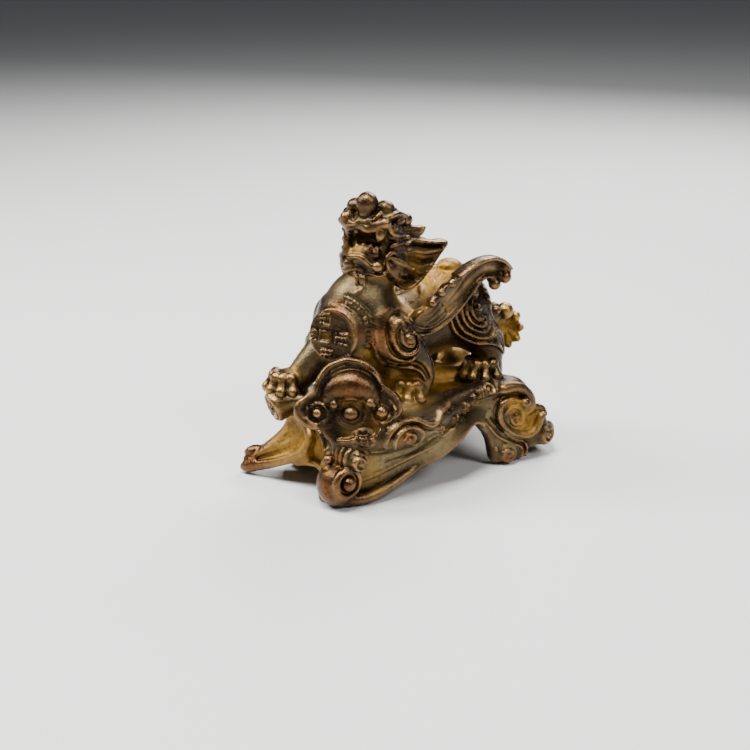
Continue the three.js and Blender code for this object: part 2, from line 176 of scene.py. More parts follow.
def inside_outline(u, v, outline):
    """The distance to a closed outline, negative within it."""
    closed = np.vstack([outline, outline[:1]])
    away, _ = along_line((u, v), closed)
    within = np.zeros(np.broadcast(u, v).shape, bool)
    for a, b in zip(closed[:-1], closed[1:]):
        crosses = (a[1] > v) != (b[1] > v)
        rise = b[1] - a[1]
        slope = (b[0] - a[0]) / (rise if abs(rise) > 1e-9 else 1e-9)
        within ^= crosses & (u < a[0] + (v - a[1]) * slope)
    return np.where(within, -away, away)


def ball(at, radii, turn=(0, 0, 0)):
    """An ellipsoid, turned about x, y and z in degrees."""
    at = np.array(at, float)
    r = np.array([radii] * 3 if np.isscalar(radii) else radii, float)
    cx, cy, cz = (math.cos(math.radians(a)) for a in turn)
    sx, sy, sz = (math.sin(math.radians(a)) for a in turn)
    about_z = np.array([[cz, -sz, 0], [sz, cz, 0], [0, 0, 1]])
    about_y = np.array([[cy, 0, sy], [0, 1, 0], [-sy, 0, cy]])
    about_x = np.array([[1, 0, 0], [0, cx, -sx], [0, sx, cx]])
    spin = about_z @ about_y @ about_x
    reach = np.abs(spin) @ r

    def distance(x, y, z):
        x, y, z = x - at[0], y - at[1], z - at[2]
        own = [(x * spin[0, k] + y * spin[1, k] + z * spin[2, k]) / r[k] for k in range(3)]
        k0 = np.sqrt(sum(o * o for o in own))
        k1 = np.sqrt(sum((o / s) ** 2 for o, s in zip(own, r)))
        return k0 * (k0 - 1) / np.maximum(k1, 1e-3)

    return Form(distance, at - reach, at + reach)


def rod(line, radii, steps=4):
    """A round-ended bar along a smooth line, with its radii spread evenly along the line."""
    line = np.array(line, float)
    if np.isscalar(radii):
        radii = [radii] * len(line)
    spread = np.interp(np.linspace(0, 1, len(line)), np.linspace(0, 1, len(radii)), radii)
    path = np.column_stack([line, spread])
    if len(line) > 2:
        path = smooth(path, steps)
    points, r = path[:, :3], path[:, 3]

    def distance(x, y, z):
        best = None
        for a, b, ra, rb in zip(points[:-1], points[1:], r[:-1], r[1:]):
            d = b - a
            px, py, pz = x - a[0], y - a[1], z - a[2]
            t = np.clip((px * d[0] + py * d[1] + pz * d[2]) / max(float(d @ d), 1e-9), 0, 1)
            squared = (px - t * d[0]) ** 2 + (py - t * d[1]) ** 2 + (pz - t * d[2]) ** 2
            away = np.sqrt(squared) - (ra + t * (rb - ra))
            best = away if best is None else np.minimum(best, away)
        return best

    return Form(distance, points.min(0) - r.max(), points.max(0) + r.max())


def rounded_pair(a, b, edge):
    """The common part of two slabs with its edge rounded."""
    a, b = a + edge, b + edge
    return np.minimum(np.maximum(a, b), 0) + np.sqrt(np.maximum(a, 0) ** 2 + np.maximum(b, 0) ** 2) - edge


def plate(outline, plane, low, high, edge, steps=4, lean=None):
    """A plate of a smooth outline in a plane, from one depth to another, with rounded edges."""
    smoothed = smooth(outline, steps, closed=True)
    middle, half = (low + high) / 2, (high - low) / 2
    bend = lean or (lambda u, v: 0.0)
    corners = np.array([plane.point(p[0], p[1], w + bend(*p)) for p in smoothed for w in (low, high)])

    def distance(x, y, z):
        u, v, w = plane.coordinates(x, y, z)
        w = w - bend(u, v)
        return rounded_pair(inside_outline(u, v, smoothed), np.abs(w - middle) - half, edge)

    return Form(distance, corners.min(0), corners.max(0))


def smooth_least(a, b, blend):
    """The smaller of two distances, with the crease between them filled to a blend radius."""
    if blend <= 0:
        return np.minimum(a, b)
    h = np.maximum(blend - np.abs(a - b), 0) / blend
    return np.minimum(a, b) - h * h * blend / 4


# Heights of relief, in millimetres above the surface that it is carved on

def ridge(line, half, height, ends=1.0):
    """A raised roll, or a groove with a negative height. It thins towards its ends when ends is below 1."""
    line = np.asarray(line, float)
    low, high = line.min(0) - half, line.max(0) + half
    fullness = 0.8 if height > 0 else 1.6

    def raised(u, v):
        away, place = along_line((u, v), line)
        width = half * (ends + (1 - ends) * np.sqrt(np.abs(np.sin(np.pi * place))))
        t = np.clip(away / width, 0, 1)
        return height * (1 - t * t) ** fullness

    return raised, low, high


def dome(centre, radius, height):
    """A low round boss."""
    c = np.array(centre, float)

    def raised(u, v):
        t = np.clip(((u - c[0]) ** 2 + (v - c[1]) ** 2) / radius ** 2, 0, 1)
        return height * (1 - t) ** 0.5

    return raised, c - radius, c + radius


def field_of(outline, height, edge):
    """An area raised, or sunk with a negative height, with sloping edges."""
    outline = np.asarray(outline, float)

    def raised(u, v):
        away = inside_outline(u, v, outline)
        t = np.clip(0.5 - away / edge, 0, 1)
        return height * t * t * (3 - 2 * t)

    return raised, outline.min(0) - edge, outline.max(0) + edge


class Clay:
    """A block of distances to the casting's surface, built up by adding, cutting and carving."""

    def __init__(self, low, high, voxel):
        self.low, self.voxel = np.array(low, float), voxel
        counts = np.ceil((np.array(high) - self.low) / voxel).astype(int) + 1
        self.axes = [self.low[k] + voxel * np.arange(counts[k]) for k in range(3)]
        self.field = np.full(counts, FAR, np.float32)

    def window(self, low, high):
        """The part of the block between two corners, and its coordinates."""
        part = []
        for k in range(3):
            first = int(max(0, math.floor((low[k] - self.low[k]) / self.voxel)))
            last = int(min(self.field.shape[k], math.ceil((high[k] - self.low[k]) / self.voxel) + 1))
            part.append(slice(first, max(first, last)))
        part = tuple(part)
        x, y, z = (self.axes[k][part[k]].astype(np.float32) for k in range(3))
        return part, x[:, None, None], y[None, :, None], z[None, None, :]

    def near_form(self, form, blend):
        """The part of the block round a form, and the form's distances in it."""
        pad = blend + 3 * self.voxel
        part, x, y, z = self.window(form.low - pad, form.high + pad)
        return part, form.distance(x, y, z)

    def add(self, form, blend):
        part, made = self.near_form(form, blend)
        self.field[part] = smooth_least(self.field[part], np.minimum(made, FAR), blend)

    def cut(self, form, blend):
        part, made = self.near_form(form, blend)
        self.field[part] = -smooth_least(-self.field[part], np.maximum(made, -FAR), blend)

    def carve(self, plane, relief, depth):
        """Raises or sinks the surface by a relief drawn in a plane, between two depths of the plane."""
        raised, low, high = relief
        corners = np.array([plane.point(u, v, w)
                            for u in (low[0], high[0]) for v in (low[1], high[1]) for w in depth])
        part, x, y, z = self.window(corners.min(0), corners.max(0))
        view = self.field[part]
        i, j, k = np.nonzero(np.abs(view) < NEAR)
        if not len(i):
            return
        u, v, w = plane.coordinates(x[i, 0, 0], y[0, j, 0], z[0, 0, k])
        take = (u > low[0]) & (u < high[0]) & (v > low[1]) & (v < high[1]) & (w > depth[0]) & (w < depth[1])
        i, j, k = i[take], j[take], k[take]
        view[i, j, k] -= raised(u[take], v[take]).astype(np.float32)

    def roll(self, plane, points, half, height, ends, depth):
        """Carves a ridge, or a groove with a negative height, along a smooth line through points."""
        self.carve(plane, ridge(smooth(points), half, height, ends), depth)

    def disc(self, plane, outline, low, high, edge, blend):
        """Adds a round plate, from the closed line of its rim."""
        self.add(plate(outline[:-1], plane, low, high, edge, 2), blend)

    def blurred(self, reach):
        """The distances averaged over a box of about this reach, twice."""
        made = np.clip(self.field, -reach * 1.5, reach * 1.5)
        n = max(1, int(round(reach / self.voxel)))
        for _ in range(2):
            for axis in range(3):
                made = box_mean(made, n, axis)
        return made

    def sample(self, values, points):
        """Values of the block at points, between voxels."""
        p = np.clip((points - self.low) / self.voxel, 0, np.array(values.shape) - 1.001)
        i = p.astype(int)
        f = p - i
        total = 0.0
        for a in (0, 1):
            for b in (0, 1):
                for c in (0, 1):
                    near = (f[:, k] if far else 1 - f[:, k] for k, far in enumerate((a, b, c)))
                    share = math.prod(near)
                    total = total + share * values[i[:, 0] + a, i[:, 1] + b, i[:, 2] + c]
        return total


def box_mean(values, n, axis):
    """The running mean of 2n + 1 values along an axis."""
    pad = [(0, 0)] * 3
    pad[axis] = (n + 1, n)
    total = np.cumsum(np.pad(values, pad, mode="edge"), axis=axis, dtype=np.float64)
    size = values.shape[axis]
    upper = np.take(total, range(2 * n + 1, 2 * n + 1 + size), axis=axis)
    lower = np.take(total, range(size), axis=axis)
    return ((upper - lower) / (2 * n + 1)).astype(np.float32)


def surface_of(clay):
    """The surface where the distance is nought: one vertex in each cell it crosses, and four-sided faces."""
    f = clay.field
    corners = [f[a:f.shape[0] - 1 + a, b:f.shape[1] - 1 + b, c:f.shape[2] - 1 + c]
               for a in (0, 1) for b in (0, 1) for c in (0, 1)]
    inside = sum((c < 0).astype(np.int8) for c in corners)
    cells = np.nonzero((inside > 0) & (inside < 8))
    number = np.full(corners[0].shape, -1, np.int32)
    number[cells] = np.arange(len(cells[0]))
    value = [c[cells] for c in corners]
    place = [np.array([a, b, c], float) for a in (0, 1) for b in (0, 1) for c in (0, 1)]
    total, count = np.zeros((len(cells[0]), 3)), np.zeros(len(cells[0]))
    for p in range(8):
        for q in range(p + 1, 8):
            if np.abs(place[p] - place[q]).sum() != 1:
                continue
            crossed = (value[p] < 0) != (value[q] < 0)
            t = np.where(crossed, value[p] / np.where(crossed, value[p] - value[q], 1), 0)
            total += np.where(crossed[:, None], place[p] + t[:, None] * (place[q] - place[p]), 0)
            count += crossed
    vertices = clay.low + clay.voxel * (np.column_stack(cells) + total / count[:, None])
    faces = []
    for axis in range(3):
        one, two = [k for k in range(3) if k != axis]
        ahead = [slice(1, -1)] * 3
        ahead[axis] = slice(0, -1)
        behind = list(ahead)
        behind[axis] = slice(1, None)
        a, b = f[tuple(ahead)] < 0, f[tuple(behind)] < 0
        for sign, edge in ((1, a & ~b), (-1, b & ~a)):
            e = np.array(np.nonzero(edge))
            e[one] += 1
            e[two] += 1
            around = []
            for s, t in ((0, 0), (1, 0), (1, 1), (0, 1)):
                at = e.copy()
                at[one] -= s
                at[two] -= t
                around.append(number[tuple(at)])
            turn = sign * (1 if axis != 1 else -1)
            faces.append(np.column_stack(around if turn > 0 else around[::-1]))
    return vertices, np.vstack(faces)


# The base: a hollow skirt under the deck, the ruyi's stem along its left side, and its scrolls

DECK = 17.3  # height of the deck, in millimetres
WALL = 2.4  # thickness of the skirt
ROOF = 13.0  # height of the hollow under the deck
OUTLINE = [
    [7.4, -20.6], [10.4, -14.6], [11.8, -6], [12.2, 1], [11.6, 8], [11.8, 14], [11.8, 18.6], [8, 21.2],
    [1, 21.4], [-6, 22.6], [-10, 19.6], [-11.4, 11], [-11.6, 0], [-11.4, -12], [-11, -19.4], [-6, -20.6],
    [1, -19.8],
]
FLARE_FRONT = [[0, 1.8], [4, 1.4], [7, 1.2], [10, 1.5], [14, 0.9], [17.3, 0]]
FLARE_REAR = [[0, 5.2], [7, 5.6], [10.5, 5.2], [12.5, 4.2], [15, 2.2], [17.3, 0]]
NEAR_ARCH = [[-20, 0], [-16, 0.8], [-10.4, 2.6], [-2.3, 6.2], [2.5, 9.4], [5.8, 11.2], [8, 10.6], [9.6, 8],
             [12.6, 0]]
FAR_ARCH = [[-15, 0], [-12, 3], [-6, 6.6], [0, 8.8], [5, 9], [8.6, 6.6], [11, 0]]
FRONT_ARCH = [[-13, 0], [-9, 2.4], [-4, 4.0], [0.5, 4.4], [4, 3.8], [6, 0]]
REAR_ARCH = [[-23, 0], [-22, 9], [-10, 9], [-5, 9.6], [2, 9.6], [8, 6], [11, 0]]
SIDE = Plane((0, 0, 0), 90)  # u runs along +Y and v up, so it is the view of the left side
FRONT = Plane((0, 0, 0), 0)  # u runs along +X and v up
REAR_SIDE = Plane((0, 0, 0), 180)
ARCHES = ((NEAR_ARCH, SIDE, (7, 30)), (FAR_ARCH, SIDE, (-30, -7)), (FRONT_ARCH, FRONT, (15, 40)),
          (REAR_ARCH, REAR_SIDE, (17, 40)))


def curved_table(rows, key):
    """Values for keys, read off a smooth curve through rows of (key, value)."""
    rows = smooth(rows)
    return np.interp(key, rows[:, 0], rows[:, 1])


def skirt(clay):
    """The deck and its spreading, hollow skirt."""
    low, high = [-20, -29, 0], [20, 30, DECK]
    part, x, y, z = clay.window(np.array(low) - 1, np.array(high) + 1)
    flat = inside_outline(x[:, :, 0], y[:, :, 0], smooth(OUTLINE, 3, closed=True))[:, :, None]
    t = np.clip((y + 14) / 20, 0, 1)
    rear = t * t * (3 - 2 * t)
    spread = (1 - rear) * curved_table(FLARE_FRONT, z) + rear * curved_table(FLARE_REAR, z)
    walls = flat - spread
    body = rounded_pair(walls, z - DECK, 0.7)
    body = np.maximum(body, -z)
    hollow = rounded_pair(walls + WALL, z - ROOF, 1.0)
    body = -smooth_least(-body, hollow, 0.4)
    for edge, across, depth in ARCHES:
        top = smooth(edge)
        shape = np.vstack([top, [[top[-1][0], -6], [top[0][0], -6]]])
        u, v, w = across.coordinates(x, y, z)
        opening = np.maximum(inside_outline(u, v, shape), np.maximum(depth[0] - w, w - depth[1]))
        body = -smooth_least(-body, opening, 0.9)
    clay.field[part] = np.minimum(clay.field[part], body)


LIP = [[10.6, -15.4, 17.4], [11.7, -9.4, 17.9], [12.2, -3, 17.8], [12.1, 3, 17.9], [12, 9, 17.8],
       [12.2, 13.6, 17.8], [12.6, 18, 17.6]]
STEM = {
    "line": [[8.6, -19.6, 13.8], [11.2, -14.8, 13.5], [12.5, -9, 13.7], [13.1, -3.5, 14.3], [13.2, 2, 15.4],
             [13.0, 7, 16.3], [12.9, 12, 16.6], [13.2, 16.6, 16.4], [14.2, 19.4, 16.1]],
    "radii": [3.8, 3.9, 3.8, 3.3, 2.6, 2.05, 1.8, 1.7, 1.5],
    "marks": [(-3.2, 12.6, 2.2, 2.8), (0.6, 13.8, 2.6, 2.0), (4.0, 15.4, 2.4, 2.8), (6.6, 16.4, 2.0, 2.4),
              (8.9, 17.1, 2.0, 1.9)],
}
REAR = Plane((17.2, 18.3, 8.4), 76)  # the face of the rear left foot, which carries its spirals
HOOK = [[-4.0, 8.4], [-2.0, 8.6], [-0.2, 8.2], [1.4, 7.1], [2.6, 5.7], [3.1, 4.2], [2.9, 2.9], [2.0, 2.2]]


def stem(clay):
    """The ruyi's stem, a broad band that slopes off the deck's left edge and hooks over at the rear."""
    clay.add(rod(STEM["line"], STEM["radii"]), 0.8)
    clay.add(rod(LIP, [0.7, 0.8, 0.75, 0.7, 0.65, 0.7, 0.8]), 0.7)


def scroll(clay, plane, centre, radius, tube, turns, start, hand, eye, rise):
    """A carved spiral: a round ridge that winds in to a ball."""
    line = whorl(centre, radius, eye * 1.25, start, turns, hand)
    n = len(line)
    lifted = [[p[0], p[1], rise * i / n] for i, p in enumerate(line)]
    clay.add(rod(plane.line(lifted), [tube, tube * 0.75], 2), 0.25)
    clay.add(ball(plane.point(centre[0], centre[1], rise * 0.7), eye), 0.15)


FOOT_A = [  # the long tongue at the front right corner
    ([[-7.4, -18, 12.4], [-9.4, -21.6, 7.8], [-12.2, -25.4, 4.2], [-15, -28.2, 1.7]], [3.0, 2.6, 2.1, 1.3]),
    ([[-5, -19.2, 10.6], [-6.6, -22, 6.8], [-9.8, -25.2, 3.8], [-14.4, -28.2, 1.6]], [2.8, 1.9, 1.6, 1.1]),
]
A_RIM = [[-8.2, -20.6, 12.4], [-5.6, -21.1, 12.3], [-3.4, -21.7, 12.1], [-1.7, -22.2, 11.1],
         [-1.1, -22.8, 9.2], [-2.7, -23.9, 7.0], [-7.4, -25.8, 4.4], [-12, -27.4, 2.7], [-15.6, -28.9, 1.3]]
A_RIDGE = [[-5.0, -21.9, 10.6], [-6.6, -23.0, 8.2], [-10.6, -25.4, 5.6], [-15.0, -28.1, 3.3]]
A_EDGE = [[-9.6, -19.4, 12.0], [-11.0, -21.0, 9.2], [-12.2, -23.2, 6.9], [-13.4, -25.2, 5.2],
          [-15.6, -28.2, 2.8]]
A_CHANNEL = [[-3.6, -22.6, 10.4], [-4.8, -23.8, 8.2], [-8.6, -25.8, 5.7], [-12.2, -27.6, 3.9]]
B_FACE = Plane((12.4, -23.5, 5.7), 86)
SMALL = Plane((12.7, -21.6, 10.0), 80, 2)


def front_feet(clay):
    """The tongue and web of the front right foot, and the rolled scrolls of the front left one."""
    for line, radii in FOOT_A:
        clay.add(rod(line, radii), 1.0)
    clay.add(rod([[-3.0, -22.0, 8.6], [-2.4, -22.6, 6.6], [-4.0, -23.6, 5.2]], [1.6, 1.3, 1.2]), 1.0)
    clay.add(rod(A_RIM, [0.5, 0.7, 0.9, 1.05, 1.1, 1.1, 1.05, 1.0, 0.9]), 0.5)
    clay.cut(rod(A_CHANNEL, [1.0, 1.05, 0.95, 0.5]), 0.5)
    clay.add(rod(A_RIDGE, [0.35, 0.55, 0.6, 0.55]), 0.4)
    clay.add(rod(A_EDGE, [0.6, 0.7, 0.8, 0.85, 0.8]), 0.5)
    clay.cut(rod([[-9.0, -21.8, 9.6], [-10.6, -23.6, 7.2], [-12.6, -25.6, 5.2]], [0.5, 0.6, 0.4]), 0.5)
    clay.add(ball([-14.9, -26.9, 4.6], [2.1, 1.3, 1.15], (0, -20, 40)), 0.3)
    clay.cut(ball([-16.4, -28.8, 2.7], [1.2, 0.5, 0.3], (0, 0, 40)), 0.3)
    clay.cut(ball([0.9, -22.6, 8.2], [1.6, 1.6, 2.8], (0, 12, 0)), 0.6)
    clay.add(rod([[-3.6, -23.2, 5.0], [0.0, -22.2, 5.2], [3.2, -22.8, 5.2]], [0.8, 0.6, 0.6]), 0.7)
    clay.add(rod([[-2.2, -21.2, 13.4], [0.6, -21.7, 12.6], [2.6, -22.0, 11.0], [4.0, -22.6, 8.8],
                  [4.2, -23.4, 6.0], [4.6, -24.2, 2.6], [5.4, -24.6, 0.8]],
                  [0.5, 0.55, 0.6, 0.65, 0.65, 0.75, 0.85]), 0.7)
    clay.add(rod([[7, -18.6, 11], [8.0, -22.0, 6], [8.2, -23.2, 2.6]], [3.4, 3.0, 2.6]), 0.8)
    clay.add(rod([[5.6, -22.6, 9.0], [5.4, -23.4, 6.0], [5.8, -23.8, 2.6]], [1.4, 1.3, 1.3]), 0.9)
    clay.add(ball([8.6, -24.0, 4.3], [4.2, 3.3, 4.25]), 0.35)
    rim = circle(2.75, 18)
    clay.disc(B_FACE, rim, -4.0, -0.1, 0.9, 0.7)
    clay.add(rod(B_FACE.line(circle(2.6), -0.6), 0.8, 1), 0.6)
    clay.cut(plate(rim[:-1] * 0.8, B_FACE, -0.7, 1.5, 0.3, 2), 0.2)
    clay.add(ball(B_FACE.point(0.05, -0.05, -0.45), 1.6), 0.1)
    clay.add(rod(SMALL.line([[0, 0, -1.0], [0, 0.5, -3.0], [-0.5, 0.9, -5.4]]), [2.1, 2.6, 2.3]), 0.4)
    for step, radius in enumerate((2.3, 2.65, 2.8, 2.8, 2.5)):
        ring = arc((-0.07 * step, 0.2 * step), radius, -60, 235, 16)
        clay.add(rod(SMALL.line(ring, -1.0 - 1.05 * step), [0.3, 0.48, 0.52, 0.48, 0.3], 1), 0.06)
    clay.carve(SMALL, ridge(whorl((0.1, -0.1), 2.0, 0.8, 110, 1.5, -1), 0.45, 0.65, 0.6), (-2.4, 1.6))
    clay.add(ball(SMALL.point(0.1, -0.1, 0.9), 0.75), 0.15)
    clay.add(ball([7.2, -24.6, 9.4], [1.2, 1.0, 1.0]), 0.25)
    clay.cut(ball([7.4, -25.4, 8.0], [1.0, 0.7, 0.6]), 0.3)


LEFT_SCROLL = {"line": [[-8.3, -25.0, 16.0], [-9.1, -20, 15.8], [-10.0, -13.6, 15.4]],
               "radii": [2.9, 2.5, 1.8]}
LEFT_FACE = Plane((-8.4, -26.5, 15.8), -14, -24)


def left_scroll(clay):
    """The rolled end of the cloud under the right forepaw, with its round face."""
    clay.add(rod(LEFT_SCROLL["line"], LEFT_SCROLL["radii"]), 0.8)
    rim = circle(3.2, 16)
    clay.disc(LEFT_FACE, rim, -3.0, 0.0, 0.6, 0.5)
    clay.cut(plate(rim[:-1] * 0.82, LEFT_FACE, -0.5, 1.6, 0.3, 2), 0.15)
    clay.add(rod(LEFT_FACE.line(whorl((0, 0), 2.0, 1.0, 120, 1.0, -1), -0.4), [0.3, 0.5, 0.4], 1), 0.15)
    clay.add(ball(LEFT_FACE.point(0.1, -0.2, -0.3), 0.85), 0.15)
    clay.add(rod([[-6.4, -24.4, 17.4], [-4.0, -22.4, 17.6], [-1.4, -20.8, 17.2]], [1.6, 1.5, 1.3]), 0.9)


REAR_OUTLINE = [
    [-10.2, 1.6], [-7.9, -1.1], [-6.8, -3.6], [-6.3, -6.0], [-5.7, -7.5], [-3.6, -8.1], [-0.6, -8.1],
    [1.8, -7.8], [3.0, -6.2], [4.6, -5.8], [6.2, -5.6], [7.2, -4.0], [7.4, -1.2], [6.9, 0.9], [5.4, 2.2],
    [3.7, 2.7], [2.6, 3.4], [2.8, 4.9], [1.8, 7.0], [-0.4, 8.4], [-4.0, 8.8], [-8.0, 8.4], [-11, 6.6],
    [-11.6, 3.8],
]
REAR_LINES = {
    "swoop": [[0.2, 4.6], [-1.0, 5.9], [-2.9, 6.2], [-4.6, 5.4], [-5.1, 3.4], [-4.6, 1.4], [-3.6, -0.1],
              [-1.3, -1.9], [1.6, -2.5], [3.8, -1.8], [4.8, -0.4], [5.3, 0.9], [6.2, 1.5]],
    "inner": [[-3.6, 2.6], [-3.4, 3.6], [-2.6, 4.4], [-1.2, 4.5], [0.1, 3.7], [0.7, 2.3], [0.4, 0.9],
              [-0.6, 0.4], [-1.7, 0.9], [-2.1, 1.9]],
    "trails": [
        [[-8.8, 2.6], [-7.2, 0.8], [-5.5, -1.3], [-2.8, -3.2], [-0.8, -4.2], [0.6, -5.0], [1.2, -6.4],
         [0.8, -7.6]],
        [[-7.6, 2.6], [-6.6, 1.4], [-4.8, -0.6], [-2.2, -2.6], [0.2, -3.5], [1.6, -4.4], [2.2, -6.0],
         [1.8, -7.6]],
    ],
}
D_FACE = Plane((18.6, 25.9, 4.9), 98)
TONGUE = [[13.4, 20.6, 8.6], [13.6, 25.0, 6.4], [13.0, 28.2, 4.4]]


def rear_feet(clay):
    """The curled rear left foot with its spirals and rolled tongue, and the plain rear right foot."""
    clear = [[-9.0, 3.6], [-6.0, 5.0], [0, 5.6], [8, 5.4], [12, -1], [11, -11], [-8.4, -11], [-9.4, -3]]
    clay.cut(plate(clear, REAR, -0.9, 6.0, 0.4, 2), 0.5)
    clay.add(plate(REAR_OUTLINE, REAR, -3.2, -0.1, 0.9, 3), 0.5)
    clay.add(rod(TONGUE, [2.3, 2.4, 2.4]), 0.8)
    clay.add(rod([[9.6, 28.6, 3.4], [14.6, 27.6, 4.0]], [2.4, 2.6]), 0.8)
    clay.add(rod(REAR.line(HOOK, -0.7), [1.3, 1.25, 1.2, 1.15, 1.1, 1.05, 1.0, 0.8]), 0.35)
    clay.add(rod(REAR.line(HOOK, -2.9), [1.9, 1.8, 1.7, 1.6, 1.4, 1.3, 1.2, 1.1]), 0.8)
    clay.add(ball(REAR.point(3.4, -0.4, -2.9), [2.8, 2.4, 1.6]), 1.0)
    clay.roll(REAR, [[-6.4, 6.9], [-3.7, 7.3], [-1.8, 7.2], [-0.3, 6.6], [0.8, 5.6]], 0.55, -0.9, 0.5,
              (-2.4, 1.4))
    clay.roll(REAR, [[0.9, 1.4], [2.2, 0.7], [3.7, 1.4], [4.5, 3.2]], 0.4, -0.7, 0.5, (-3.0, 1.5))
    clay.add(ball(REAR.point(0.8, 5.0, 0.6), 1.15), 0.05)
    clay.cut(ball(REAR.point(3.2, 0.6, 1.2), [2.2, 2.3, 1.9]), 0.6)
    clay.add(rod(REAR.line(REAR_LINES["swoop"], 0.05),
                 [0.35, 0.45, 0.55, 0.65, 0.75, 0.85, 0.95, 1.0, 1.0, 0.95, 0.85, 0.75, 0.6]), 0.25)
    sheet = [[1.8, 2.4, -1.6], [3.2, 3.0, -1.0], [4.8, 3.0, -0.8], [6.2, 2.2, -1.0], [7.2, 0.8, -1.6]]
    clay.add(rod(REAR.line(sheet), [0.7, 0.75, 0.75, 0.75, 0.7]), 0.4)
    around = [[-2.6, 7.0], [-4.8, 6.4], [-5.9, 4.9], [-6.1, 3.0], [-5.5, 0.9], [-4.2, -0.8], [-1.6, -2.9],
              [1.4, -3.8]]
    clay.roll(REAR, around, 0.4, -0.45, 0.4, (-2.4, 1.4))
    clay.add(rod(REAR.line(REAR_LINES["inner"], 0.0),
                 [0.3, 0.45, 0.55, 0.6, 0.62, 0.62, 0.6, 0.55, 0.5, 0.4]), 0.2)
    clay.add(ball(REAR.point(-0.9, 2.2, -0.1), 0.75), 0.2)
    for line in REAR_LINES["trails"]:
        clay.roll(REAR, line, 0.45, 0.5, 0.2, (-3.4, 2.0))
        clay.carve(REAR, ridge(smooth(line) + np.array([0.45, 0.6]), 0.3, -0.4, 0.2), (-3.4, 2.0))
    clay.add(ball(REAR.point(-3.0, -6.2, -1.7), [2.6, 2.6, 1.8]), 0.8)
    scroll(clay, REAR, (-2.7, -6.0), 1.95, 0.52, 1.3, 120, -1, 0.7, 0.85)
    clay.carve(REAR, dome((-5.5, -4.5), 0.6, 0.5), (-3.4, 2.0))
    clay.disc(D_FACE, circle(2.7, 18), -4.4, 0.0, 0.6, 0.5)
    clay.carve(D_FACE, ridge(whorl((0, 0), 2.2, 0.8, 120, 1.4, 1), 0.42, 0.55, 0.6), (-1.4, 1.2))
    clay.add(ball(D_FACE.point(0.1, -0.2, -0.1), 0.7), 0.15)
    clay.add(rod([[-12, 14, 10], [-14.2, 15.4, 5], [-14.8, 16, 2.4]], [2.6, 2.8, 2.3]), 1.2)
    far = Plane((-16.8, 15.4, 4.4), -68, 4)
    clay.add(ball(far.point(0, 0, -1.6), [2.8, 2.8, 1.6], (0, 0, 22)), 0.8)
    scroll(clay, far, (0, 0), 2.1, 0.5, 1.4, 60, 1, 0.6, 0.4)


PLAQUE = {
    "plane": Plane((8.8, -20.6, 20.2), 50, 18),
    "outline": [
        [0.1, 9.2], [3.2, 8.5], [5.4, 6.9], [6.7, 4.7], [7.6, 3.4], [9.2, 2.3], [10.3, 0.3], [10.0, -1.9],
        [8.2, -3.4], [5.6, -4.1], [2.6, -3.9], [0.2, -4.2], [-2.4, -4.2], [-5.6, -4.9], [-8.4, -4.3],
        [-10.1, -2.9], [-10.6, -1], [-9.8, 0.9], [-8.1, 1.9], [-6.9, 3.1], [-6.1, 5.3], [-4.3, 7.7],
        [-2, 8.9],
    ],
    "beads": [(-2.8, 0.1, 0.92, -0.05), (4.1, 0.5, 1.02, 0.1), (-6.0, -1.6, 1.0, -0.35),
              (6.3, -1.3, 1.25, -0.15)],
    "swirls": [(-6.0, -1.6, 2.2, 150, 0.95, 1), (6.45, -1.35, 2.5, 60, 0.85, -1)],
}


def plaque(clay):
    """The ruyi's trefoil head: a raised rim, a domed crescent, a ringed eye, four beads and two swirls."""
    plane, outline = PLAQUE["plane"], np.array(PLAQUE["outline"])
    clay.add(ball([7.2, -18.0, 14.6], [5.4, 5.4, 6.0]), 1.0)
    flow = [[-6.4, -2.0], [-5.4, -5.0], [-3.4, -7.4], [0.4, -9.0], [4.6, -8.6], [8.2, -6.0], [9.2, -2.6],
            [4, 1], [-3, 1]]
    clay.add(plate(flow, plane, -3.4, -0.7, 0.9, 2), 1.2)
    clay.add(plate(outline, plane, -2.6, 0.0, 0.9), 0.5)
    rim = smooth(outline, closed=True)
    middle = np.array([0.1, 1.8])
    inner = middle + (rim - middle) * np.array([0.85, 0.82])
    foot = (np.abs(inner[:, 0] - 0.5) < 5.2) & (inner[:, 1] < -1.6)
    inner[:, 1] -= 3.4 * foot
    clay.cut(plate(inner[::3], plane, -0.5, 2.5, 0.3, 2), 0.7)
    ends = np.linspace(0, 1, 15)
    thick = 0.5 + 2.55 * np.sin(np.pi * ends) ** 0.8
    turn = np.radians(192 - 206 * ends)
    path = [[0.45 + (5.75 - t) * math.cos(a), 1.2 + (5.65 - t) * math.sin(a), -0.3 - 0.3 * t]
            for t, a in zip(thick, turn)]
    clay.add(rod(plane.line(path), list(thick), 1), 0.15)
    reach = (-2.2, 1.6)
    clay.carve(plane, ridge(arc((0.45, 1.2), 6.25, 174, 2, 24), 0.28, 0.28, 0.5), reach)
    clay.carve(plane, ridge(arc((0.4, -1.6), 2.6, 0, 360, 28), 0.32, 0.28), reach)
    clay.add(ball(plane.point(0.4, -1.6, -0.8), [1.75, 1.75, 1.5]), 0.15)
    for u, v, r, depth in PLAQUE["beads"]:
        clay.add(ball(plane.point(u, v, depth), r), 0.1)
    for u, v, radius, start, turns, hand in PLAQUE["swirls"]:
        clay.carve(plane, ridge(whorl((u, v), radius, 1.8, start, turns, hand), 0.32, 0.32, 0.5), reach)


BOLSTER = [[[-1, 0.6, 16.8], [3.6, 9.2, 17.0], [6.4, 14.4, 16.8]], [2.4, 2.7, 2.4]]


def base(clay):
    """The whole ruyi base."""
    skirt(clay)
    rear_feet(clay)
    stem(clay)
    left_scroll(clay)
    front_feet(clay)
    plaque(clay)
    clay.add(rod(*BOLSTER), 0.4)
    clay.add(ball([-4.6, 19.4, 17.2], [3.4, 4.6, 3.2]), 0.5)
    carve_stem(clay)
    carve_skirt(clay)


